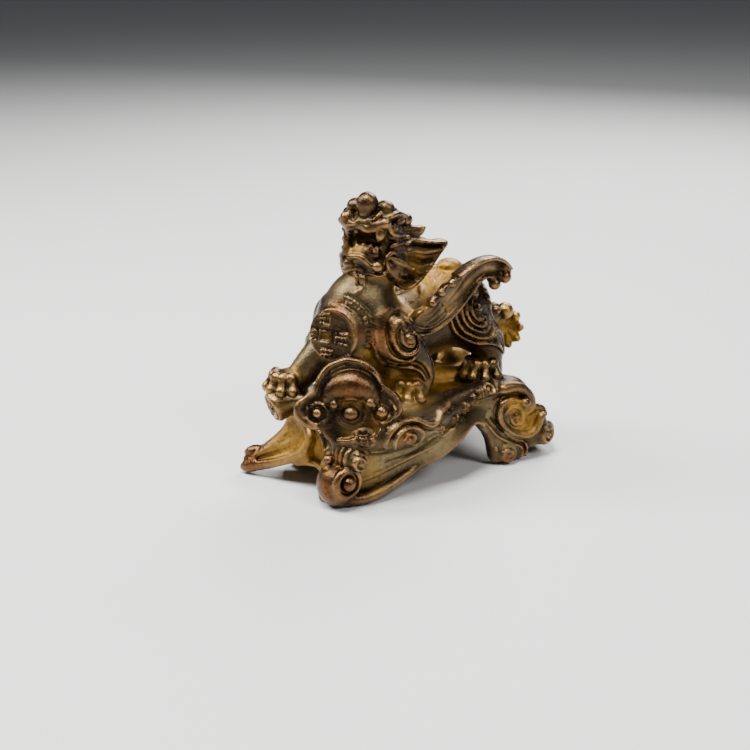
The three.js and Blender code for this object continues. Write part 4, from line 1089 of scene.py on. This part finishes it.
EAR_YAW = 84
EAR = Plane((5.4, -3.9, 46), EAR_YAW)
FAR_EAR = Plane(EAR.at - 2 * HEAD.right * ((EAR.at - HEAD.at) @ HEAD.right), 2 * HEAD_YAW - EAR_YAW + 360)
EAR_OUTLINE = [[-3, 1.6], [-0.6, 3.2], [1.6, 3.6], [4, 3], [6.9, 2.2], [9.4, 2.1], [10.9, 1.4], [10.6, 0.3],
               [8.9, -0.9], [7.5, -2.5], [6, -4], [4.4, -5.5], [2.2, -6.8], [0, -6.8], [-1.6, -5.6],
               [-3.2, -2.4]]
HORN_OUTLINE = [[-2.6, 4.4], [-0.8, 5.4], [1.0, 5.7], [3.9, 5.3], [5.6, 5.1], [5.5, 4.2], [4.6, 3.3],
                [2.4, 2.8], [-0.4, 2.7], [-2.4, 3.0]]
EAR_LINES = [
    ([[-0.6, 2.6], [1.6, 3.0], [5.0, 2.2], [10.2, 1.3]], 0.5, 0.6, 0.4),
    ([[0.2, 1.8], [1.6, 2.0], [5.0, 1.2], [9.4, 0.8]], 0.4, -0.8, 0.4),
    ([[0.8, 0.8], [2.4, 0.7], [5.2, 0.0], [9.2, 0.1]], 0.5, 0.6, 0.4),
    ([[1.2, -0.8], [2.4, -1.0], [4.2, -1.8], [7.0, -1.9]], 0.9, -0.8, 0.4),
    ([[1.2, -2.4], [2.2, -2.8], [3.6, -3.8], [5.2, -4.2]], 0.5, 0.55, 0.4),
    ([[1.2, -4.0], [2.0, -4.5], [3.0, -5.2]], 0.6, -0.6, 0.4),
    ([[9.9, 0.4], [8.6, -1.0], [7.2, -2.6], [5.6, -4.2], [4.0, -5.6], [2.0, -6.6], [0.2, -6.6], [-1.2, -5.6]],
     0.4, 0.35, 0.5),
]
HORN_LINES = [([[-2, 4.2], [1.4, 4.5], [4.8, 4.5]], 0.4, -0.4, 0.4)]


def ears(clay):
    """The ribbed, pointed ears and the small horns above them."""
    for hand, plane in ((1, EAR), (-1, FAR_EAR)):
        clay.add(plate(flipped(EAR_OUTLINE, hand), plane, -1.5, 0.1, 0.5), 0.5)
        clay.add(plate(flipped(HORN_OUTLINE, hand), plane, -1.9, -0.2, 0.6), 0.3)
        rolls(clay, plane, hand, EAR_LINES, (-0.9, 2.0))
        rolls(clay, plane, hand, HORN_LINES, (-1.6, 2.0))


def mane(clay):
    """Locks of hair behind the head and down the nape."""
    for n in range(5):
        u = (n - 2) * 2.0
        for step in range(3):
            root = (u, -4.6 - 0.5 * step, 5.0 - 4.2 * step - 0.35 * u * u * 0.4)
            tip = (u * 1.15, -6.6 - 0.3 * step, 1.6 - 4.2 * step - 0.2 * u * u * 0.4)
            bend = ((root[0] + tip[0]) / 2, min(root[1], tip[1]) - 0.2, (root[2] + tip[2]) / 2)
            clay.add(rod([head_point(p) for p in (root, bend, tip)], [0.8, 1.0, 0.35]), 0.25)


TAIL = {
    "fan": Plane((2.2, 28.8, 23.8), 62, 10), "radius": 4.3,
    "balls": [([3.1, 27.4, 28.3], 1.9, 0.15), ([3.5, 30.4, 26.6], 1.15, 0.15), ([3.4, 24.6, 29.0], 0.9, 0.2),
              ([-0.6, 27.6, 27.8], 1.6, 0.2)],
}


def tail(clay):
    """The tail: a bent root, a scalloped shell fan, and four balls."""
    plane, radius = TAIL["fan"], TAIL["radius"]
    clay.add(rod([[0, 17, 30], [0.6, 22.6, 28.4], [1.4, 26.2, 26]], [4.8, 3.2, 2.4]), 1.4)
    lobes = 9
    narrow = 0.92
    edge = []
    for n in range(lobes * 4):
        a = 2 * math.pi * n / (lobes * 4)
        out = radius * (1 + 0.055 * math.cos(lobes * a))
        edge.append([out * math.cos(a) * narrow, out * math.sin(a)])
    clay.add(plate(edge, plane, -2.2, 0.0, 0.6, 1), 0.3)
    clay.cut(ball(plane.point(0.2, 0.6, 2.6), [3.6, 3.6, 3.0]), 0.4)
    for n in range(lobes):
        a = 2 * math.pi * n / lobes
        if math.sin(a) < 0.55:
            out = radius * 0.86
            clay.add(ball(plane.point(out * math.cos(a) * narrow, out * math.sin(a), 0.1), 0.8), 0.2)
            b = a + math.pi / lobes
            groove = [[1.2 * math.cos(b), 1.2 * math.sin(b)], [4.4 * math.cos(b), 4.6 * math.sin(b)]]
            clay.carve(plane, ridge(groove, 0.35, -0.4), (-1.2, 1.4))
    for at, size, blend in TAIL["balls"]:
        clay.add(ball(at, size), blend)


def beast(clay):
    """The whole beast."""
    body(clay)
    coin(clay)
    for shape in FORELEGS + HINDLEGS:
        leg(clay, shape)
    for shoulder, haunch in zip(SHOULDERS, HAUNCHES):
        carve_shoulder(clay, *shoulder)
        carve_haunch(clay, *haunch)
    wing(clay, 1)
    wing(clay, -1)
    mane(clay)
    head(clay)
    ears(clay)
    tail(clay)


def carve_casting(voxel):
    """The whole casting as a block of distances, cut flat where it stands."""
    low = np.array(CAD_LOW) / MM + CENTRE - MARGIN
    high = np.array(CAD_HIGH) / MM + CENTRE + MARGIN
    clay = Clay(low, high, voxel)
    base(clay)
    beast(clay)
    part, _, _, z = clay.window(low, [high[0], high[1], FOOT])
    clay.field[part] = np.maximum(clay.field[part], -z)
    return clay


# Wear, dirt and painted shade, as numbers from 0 to 1 at each vertex

PATCHES = {  # soft round patches of colour, as (place, reach)
    "ochre": [  # dry yellow dirt
        ((0, 6, 38), 8), ((0, 12, 39), 6), ((-2, -4, 38), 6), ((2, 6, 18), 9), ((6, -6, 18), 7),
        ((-7, -23, 8), 7), ((-2, -22, 8), 5), ((3, 30, 23), 4.6), ((4, -13, 27), 4), ((-4, -12, 26), 4),
        ((1, 22, 31), 3), ((7, -3, 36.5), 4.0), ((2, -5, 44), 3.5), ((8, 2, 36), 3), ((1.4, -12, 47.4), 2.4),
        ((8.0, -1.4, 44.4), 3.4), ((-4.6, 19.4, 18.6), 5), ((18, 20, 9), 3.6), ((17.4, 16.4, 13.5), 2.4),
        ((4, -22, 6), 4.5), ((14, -18, 6), 4), ((-9, -20, 21), 3.4),
    ],
    "copper": [
        ((7.8, -17.4, 33.4), 2.6), ((1.6, -18.2, 38.0), 2.0), ((10.4, -21.4, 24.0), 3.8),
        ((9.4, -25.0, 4.4), 4.6), ((15.6, -12, 13.0), 2.4), ((-13, -27.6, 2.4), 4.5), ((17.4, 27, 3.4), 2.6),
        ((17.6, 15.2, 0.6), 2.2), ((5.6, -10.6, 52.4), 1.6), ((8.2, -11.6, 31.6), 3.2), ((-10, -26, 16), 2.4),
        ((12.8, 18.6, 40.2), 2.0), ((9.4, -24.4, 9.4), 2.2), ((0.4, -10.8, 58), 1.6),
        ((13.4, -17.8, 17.6), 2.2),
    ],
    "dark": [
        ((11, 10, 38), 5), ((10.4, 13.4, 30), 7), ((13.4, 8, 17.2), 4), ((5.6, -7.8, 46), 3.5),
        ((9.8, -5, 27), 3.5), ((-8, 12, 30), 8), ((14, 5, 14.6), 4.4), ((10, -21.6, 23), 3.4),
        ((12.6, 16, 17), 4), ((3.4, -17.6, 29.6), 4), ((8, -20.4, 17.6), 4.4), ((11.6, -17.6, 14), 4.4),
        ((15, 0, 15), 4), ((9, 13, 19), 4), ((0, -22, 12), 3),
    ],
    "pale": [
        ((-1, -13, 39.4), 5.0), ((3.4, -11, 38.4), 4.4), ((-7.6, -16, 24.6), 6), ((15.4, -4, 10.4), 6),
        ((13, -14, 8), 7), ((15.8, 9, 11.6), 4.5), ((16, 16, 6), 4), ((18, 27, 5), 3), ((13, -9, 17.4), 2.6),
        ((6, -9, 34.5), 2.4), ((7.4, -1.4, 46.6), 3.6), ((11.6, 4, 36), 3),
    ],
    "gold": [
        ((-9.2, -23.6, 18.6), 5), ((8.9, -7.0, 18.4), 4), ((9.2, 13, 18.4), 5), ((3, 27.6, 28.4), 2.6),
        ((4, 30.4, 26.6), 2),
    ],
}
PATCH_START, PATCH_FALL = 1.35, 1.1  # strength at a patch's middle, held to 1, and its fall within the reach
BLURS = {"fine": 0.45, "middle": 1.1, "broad": 3.0}  # reach of each blur of the block, in millimetres
WEAR = {  # what stands proud of a blur with 1, or lies below it with -1, from one height to another
    "rubbed": ("fine", 1, 0.03, 0.2),
    # painted shade: the fine creases, darkened in the colour
    "crease": ("fine", -1, 0.02, 0.16),
    "hollow": ("middle", -1, 0.04, 0.42),
    "proud": ("middle", 1, 0.02, 0.5),
    # painted shade: the broad hollows, darkened in the colour as if light could not reach them
    "sheltered": ("broad", -1, 0.0, 1.2),
}


def patches(points, spots):
    """How deep each point lies in a set of soft round patches."""
    made = np.zeros(len(points))
    for place, reach in spots:
        away = np.sqrt(((points - np.array(place)) ** 2).sum(1)) / reach
        made = np.maximum(made, np.clip(PATCH_START - PATCH_FALL * away, 0, 1))
    return made


def step_between(low, high, values):
    """A soft step from 0 to 1 as the values go from low to high."""
    t = np.clip((values - low) / (high - low), 0, 1)
    return t * t * (3 - 2 * t)


def wear(clay, points):
    """Rubbed edges, wide hollows and coloured patches of the old surface, and painted shade in creases and
    hollows.
    """
    depth = {name: clay.sample(clay.blurred(reach), points) for name, reach in BLURS.items()}
    made = {}
    for name, (blur, sign, low, high) in WEAR.items():
        made[name] = step_between(low, high, sign * depth[blur])
    made.update((name, patches(points, spots)) for name, spots in PATCHES.items())
    return made


# The mesh

def thinned(mesh, most):
    """The same surface with at most this many triangles, fewer where it is flat."""
    holder = bpy.data.objects.new("thinning", mesh)
    bpy.context.scene.collection.objects.link(holder)
    triangles = sum(p.loop_total - 2 for p in mesh.polygons)
    modifier = holder.modifiers.new("thin", "DECIMATE")
    modifier.ratio = min(1.0, most / triangles)
    modifier.use_collapse_triangulate = True
    made = bpy.data.meshes.new_from_object(holder.evaluated_get(bpy.context.evaluated_depsgraph_get()))
    bpy.data.objects.remove(holder)
    bpy.data.meshes.remove(mesh)
    return made


def one_shell(mesh):
    """The mesh's largest shell alone, without sealed hollows and loose crumbs."""
    faces = np.empty(len(mesh.loops), np.int32)
    mesh.loops.foreach_get("vertex_index", faces)
    faces = faces.reshape(len(mesh.polygons), -1)
    label = np.arange(len(mesh.vertices))
    changed = True
    while changed:
        before, least = label.copy(), label[faces].min(1)
        for corner in faces.T:
            np.minimum.at(label, corner, least)
        label = label[label]
        changed = (label != before).any()
    kept = label == np.bincount(label).argmax()
    number = np.cumsum(kept) - 1
    places = np.empty(len(mesh.vertices) * 3)
    mesh.vertices.foreach_get("co", places)
    made = bpy.data.meshes.new("shell")
    made.from_pydata(places.reshape(-1, 3)[kept].tolist(), [], number[faces[kept[faces[:, 0]]]].tolist())
    made.update()
    bpy.data.meshes.remove(mesh)
    return made


def casting(settings):
    """The casting as one mesh piece, in metres in the frame, with wear and painted shade on its vertices."""
    clay = carve_casting(settings.detail / MM)
    vertices, faces = surface_of(clay)
    placed = (vertices - CENTRE) * MM
    placed[:, 2] = np.maximum(placed[:, 2], 0)
    mesh = bpy.data.meshes.new("casting")
    mesh.from_pydata(placed.tolist(), [], faces.tolist())
    mesh.update()
    mesh = one_shell(thinned(mesh, settings.triangles))
    flat = np.empty(len(mesh.vertices) * 3)
    mesh.vertices.foreach_get("co", flat)
    points = flat.reshape(-1, 3) / MM + CENTRE
    for name, values in wear(clay, points).items():
        layer = mesh.attributes.new(name, "FLOAT", "POINT")
        layer.data.foreach_set("value", values.astype(np.float32))
    mesh.polygons.foreach_set("use_smooth", [True] * len(mesh.polygons))
    mesh.name = "pixiu_casting"
    piece = bpy.data.objects.new("pixiu_casting", mesh)
    bpy.context.scene.collection.objects.link(piece)
    return piece


# Finishes

def linear(code):
    """The linear colour of an sRGB hex code."""
    parts = [int(code[i:i + 2], 16) / 255 for i in (1, 3, 5)]
    return tuple(p / 12.92 if p <= 0.04045 else ((p + 0.055) / 1.055) ** 2.4 for p in parts)


def add_node(tree, kind, links=None, **settings):
    """A node with its settings; links gives values or other nodes' outputs by socket."""
    node = tree.nodes.new(kind)
    for name, value in settings.items():
        setattr(node, name, value)
    for key, value in (links or {}).items():
        socket = node.inputs[key]
        if isinstance(value, bpy.types.NodeSocket):
            tree.links.new(value, socket)
        else:
            socket.default_value = value
    return node


def new_material(name):
    """A material with an empty tree of nodes."""
    material = bpy.data.materials.new(name)
    material.use_nodes = True
    tree = material.node_tree
    tree.nodes.clear()
    return material, tree


def finish(tree, links):
    """Ends a material's tree with its surface."""
    surface = add_node(tree, "ShaderNodeBsdfPrincipled", links)
    add_node(tree, "ShaderNodeOutputMaterial", {"Surface": surface.outputs["BSDF"]})


MIX_SHARE, MIX_FIRST, MIX_SECOND, MIX_RESULT = 0, 6, 7, 2  # the Mix node's sockets for colours


def patinated_cast_brass(settings):
    """Chemically browned cast brass: sand-cast grain, warm rubbed edges, matt ochre dirt, shade painted in
    creases.
    """
    material, tree = new_material("patinated_cast_brass")
    place = add_node(tree, "ShaderNodeTexCoord").outputs["Object"]

    def noise(size_mm, detail, roughness=0.55):
        links = {"Vector": place, "Scale": 1 / (size_mm * MM), "Detail": detail, "Roughness": roughness}
        return add_node(tree, "ShaderNodeTexNoise", links).outputs["Fac"]

    def stored(name):
        return add_node(tree, "ShaderNodeAttribute", attribute_name=name).outputs["Fac"]

    def maths(operation, a, b=0.0, clamp=False):
        return add_node(tree, "ShaderNodeMath", {0: a, 1: b}, operation=operation, use_clamp=clamp).outputs[0]

    def spread(value, low, high, to_low=0.0, to_high=1.0):
        links = {"Value": value, "From Min": low, "From Max": high, "To Min": to_low, "To Max": to_high}
        return add_node(tree, "ShaderNodeMapRange", links, interpolation_type="SMOOTHSTEP").outputs[0]

    def times(a, b):
        return maths("MULTIPLY", a, b)

    def mix(share, a, b):
        made = add_node(tree, "ShaderNodeMix", data_type="RGBA")
        for index, value in ((MIX_SHARE, share), (MIX_FIRST, a), (MIX_SECOND, b)):
            if isinstance(value, bpy.types.NodeSocket):
                tree.links.new(value, made.inputs[index])
            else:
                made.inputs[index].default_value = (*value[:3], 1)
        return made.outputs[MIX_RESULT]

    broad, cloud, fleck, grain = noise(11, 3), noise(3.2, 4), noise(0.9, 4, 0.6), noise(0.42, 3, 0.65)
    colour = mix(spread(broad, 0.35, 0.65), settings.brown, settings.umber)
    colour = mix(times(spread(cloud, 0.42, 0.62), 0.6), colour, settings.olive)
    colour = mix(times(stored("pale"), spread(fleck, 0.3, 0.6, 0.45, 0.9)), colour, settings.satin)
    colour = mix(times(stored("dark"), 0.7), colour, settings.umber)
    colour = mix(times(stored("proud"), 0.35), colour, settings.warm)
    copper = times(stored("copper"), spread(fleck, 0.38, 0.58, 0.15, 0.85))
    colour = mix(copper, colour, settings.copper)
    worn_share = times(spread(cloud, 0.36, 0.66, 0.1, 1.0), spread(fleck, 0.3, 0.62, 0.5, 1.0))
    rubbed = times(stored("rubbed"), worn_share)
    rubbed = times(rubbed, maths("SUBTRACT", 1.0, times(stored("dark"), 0.55)))
    colour = mix(times(rubbed, 0.65), colour, settings.worn)
    gold = times(times(stored("gold"), stored("proud")), 0.8)
    colour = mix(gold, colour, settings.gold)
    # painted shade: fine creases and broad hollows are darkened towards the dark colour
    painted_shade = maths("ADD", times(stored("crease"), 0.5), times(stored("sheltered"), 0.35), clamp=True)
    colour = mix(painted_shade, colour, settings.dark)
    dirt = times(stored("hollow"), spread(cloud, 0.36, 0.6, 0.3, 1.0))
    washed = times(stored("ochre"), spread(fleck, 0.34, 0.6, 0.5, 1.0))
    dirt = maths("ADD", times(dirt, 0.3), times(washed, 0.95), clamp=True)
    dirt = maths("SUBTRACT", dirt, times(rubbed, 0.5), clamp=True)
    colour = mix(dirt, colour, settings.ochre)
    shine = maths("SUBTRACT", 0.9, times(dirt, 0.6))
    dull = maths("ADD", spread(cloud, 0.3, 0.7, 0.22, 0.35), times(dirt, 0.3))
    dull = maths("ADD", dull, times(stored("pale"), 0.08))
    dull = maths("SUBTRACT", dull, times(rubbed, 0.06))
    height = maths("ADD", times(grain, 0.9), times(fleck, 0.45))
    bump = add_node(tree, "ShaderNodeBump", {"Strength": 0.8, "Distance": 0.14 * MM, "Height": height})
    finish(tree, {"Base Color": colour, "Metallic": shine, "Roughness": dull,
                  "Normal": bump.outputs["Normal"]})
    return material


def studio_paper(colour):
    """Plain matt studio paper."""
    material, tree = new_material("studio_paper")
    finish(tree, {"Base Color": (*colour, 1), "Roughness": 0.85})
    return material


# The studio

def oriented(right, up, back, at):
    """A matrix from three axes and a place in metres."""
    rows = [(right[k], up[k], back[k], at[k]) for k in range(3)]
    return Matrix((*rows, (0, 0, 0, 1)))


LIGHTS = [  # name, azimuth, elevation, distance, width and height, in degrees and metres
    ("top", 10, 74, 0.45, 0.17, 0.2),
    ("back", 205, 38, 0.55, 0.36, 0.16),
    ("side", 100, 42, 0.6, 0.12, 0.2),
    ("left", -46, 42, 0.5, 0.12, 0.26),
]
AIM = np.array([0, 0, 0.028])  # what the lights face, about half way up the statue
ROOM_COLOUR = (0.9, 0.93, 1.0, 1)
FLOOR_HALF = 8.0  # metres from the floor's middle to its edge


def soft_light(name, azimuth, elevation, distance, width, height, power):
    """A rectangular soft light that faces the statue."""
    back = facing(azimuth, elevation)
    level = Plane((0, 0, 0), azimuth, elevation)
    data = bpy.data.lights.new(name, "AREA")
    data.shape = "RECTANGLE"
    data.size, data.size_y = width, height
    data.energy = power
    lamp = bpy.data.objects.new(name, data)
    lamp.matrix_world = oriented(level.right, level.up, back, back * distance + AIM)
    bpy.context.scene.collection.objects.link(lamp)


CAMERA = {  # angles in degrees, place and sensor in millimetres, focal length and frame in pixels
    "azimuth": 50, "elevation": 20, "at": (172.0, -151.0, 102.3), "focal": 1176, "frame": 750, "sensor": 36,
}


def camera():
    """The camera that sees the statue as the photo does."""
    data = bpy.data.cameras.new("camera")
    data.sensor_width = CAMERA["sensor"]
    data.lens = CAMERA["sensor"] * CAMERA["focal"] / CAMERA["frame"]
    data.clip_start = 0.01
    level = Plane((0, 0, 0), CAMERA["azimuth"], CAMERA["elevation"])
    held = bpy.data.objects.new("camera", data)
    held.matrix_world = oriented(level.right, level.up, level.out, (np.array(CAMERA["at"]) - CENTRE) * MM)
    bpy.context.scene.collection.objects.link(held)
    bpy.context.scene.camera = held


def studio(settings):
    """The floor, the lights, the even light of the room and the camera."""
    floor_mesh = bpy.data.meshes.new("floor")
    corners = [(x * FLOOR_HALF, y * FLOOR_HALF, 0) for x, y in ((-1, -1), (1, -1), (1, 1), (-1, 1))]
    floor_mesh.from_pydata(corners, [], [(0, 1, 2, 3)])
    floor = bpy.data.objects.new("floor", floor_mesh)
    floor_mesh.materials.append(studio_paper(settings.floor_colour))
    bpy.context.scene.collection.objects.link(floor)
    for light in LIGHTS:
        soft_light(*light, getattr(settings, light[0] + "_power"))
    world = bpy.data.worlds.new("studio")
    world.use_nodes = True
    background = world.node_tree.nodes["Background"]
    background.inputs["Color"].default_value = ROOM_COLOUR
    background.inputs["Strength"].default_value = settings.room
    bpy.context.scene.world = world
    camera()


# The add-on's settings, operators and panel

def colour_setting(name, description, code):
    return bpy.props.FloatVectorProperty(
        name=name, description=description, subtype="COLOR", size=3, min=0, max=1, default=linear(code))


def power_setting(name, description, power):
    return bpy.props.FloatProperty(name=name, description=description, default=power, unit="POWER")


class PixiuCastingSettings(bpy.types.PropertyGroup):
    detail: bpy.props.FloatProperty(
        name="Detail", description="Size of the smallest carved mark", default=VOXEL * MM, unit="LENGTH",
        precision=5)
    triangles: bpy.props.IntProperty(
        name="Triangles", description="Most triangles that the casting may have",
        default=194000, min=20000, max=199000)
    brown: colour_setting("Brown", "The browned metal", "#443322")
    umber: colour_setting("Umber", "The darker browned metal", "#271c13")
    olive: colour_setting("Olive", "The greenish cast of the patina", "#453a22")
    satin: colour_setting("Satin", "The grey handled metal of neck, foreleg and skirt", "#766747")
    warm: colour_setting("Warm", "The warmer metal of the proud forms", "#6b5034")
    copper: colour_setting("Copper", "The reddish bloom on coin, head plate and rolled ends", "#6c3f1c")
    worn: colour_setting("Worn", "The rubbed edges", "#ad8352")
    gold: colour_setting("Gold", "The polished toes", "#b98f4c")
    # painted shade: the colour that creases and broad hollows are darkened towards
    dark: colour_setting("Dark", "The blackened creases", "#0d0906")
    ochre: colour_setting("Ochre", "The dry dirt in the hollows", "#a2761a")


class PixiuStudioSettings(bpy.types.PropertyGroup):
    floor_colour: colour_setting("Floor", "The pale paper floor", "#cfcfcd")
    top_power: power_setting("Top light", "Power of the light overhead", 4.6)
    back_power: power_setting("Back light", "Power of the light behind", 4.2)
    side_power: power_setting("Side light", "Power of the light at the right", 1.8)
    left_power: power_setting("Left light", "Power of the light at the left", 3.2)
    room: bpy.props.FloatProperty(
        name="Room light", description="Strength of the even light all round", default=0.1, min=0)


class PIXIU_OT_casting(bpy.types.Operator):
    """Carve the casting and give it its old patina"""

    bl_idname = "pixiu.casting"
    bl_label = "Carve the casting"

    def execute(self, context):
        piece = casting(context.scene.pixiu_casting)
        piece.data.materials.append(patinated_cast_brass(context.scene.pixiu_casting))
        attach(piece, "root")
        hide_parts(NODE)
        return {"FINISHED"}


class PIXIU_OT_studio(bpy.types.Operator):
    """Set the floor, the soft lights and the camera"""

    bl_idname = "pixiu.studio"
    bl_label = "Set the studio"

    def execute(self, context):
        studio(context.scene.pixiu_studio)
        return {"FINISHED"}


class PIXIU_PT_panel(bpy.types.Panel):
    """The casting's and the studio's settings"""

    bl_idname = "PIXIU_PT_panel"
    bl_label = "Brass pixiu statue"
    bl_space_type = "VIEW_3D"
    bl_region_type = "UI"
    bl_category = "Pixiu"

    def draw(self, context):
        scene = context.scene
        for settings, operator in ((scene.pixiu_casting, PIXIU_OT_casting),
                                   (scene.pixiu_studio, PIXIU_OT_studio)):
            box = self.layout.box()
            for name in settings.bl_rna.properties.keys():
                if name not in ("rna_type", "name"):
                    box.prop(settings, name)
            box.operator(operator.bl_idname)


CLASSES = (PixiuCastingSettings, PixiuStudioSettings, PIXIU_OT_casting, PIXIU_OT_studio, PIXIU_PT_panel)


def register():
    for kind in CLASSES:
        bpy.utils.register_class(kind)
    bpy.types.Scene.pixiu_casting = bpy.props.PointerProperty(type=PixiuCastingSettings)
    bpy.types.Scene.pixiu_studio = bpy.props.PointerProperty(type=PixiuStudioSettings)


def unregister():
    del bpy.types.Scene.pixiu_studio
    del bpy.types.Scene.pixiu_casting
    for kind in reversed(CLASSES):
        bpy.utils.unregister_class(kind)


def main():
    register()
    bpy.ops.pixiu.studio()
    bpy.ops.pixiu.casting()


if __name__ == "__main__":
    main()
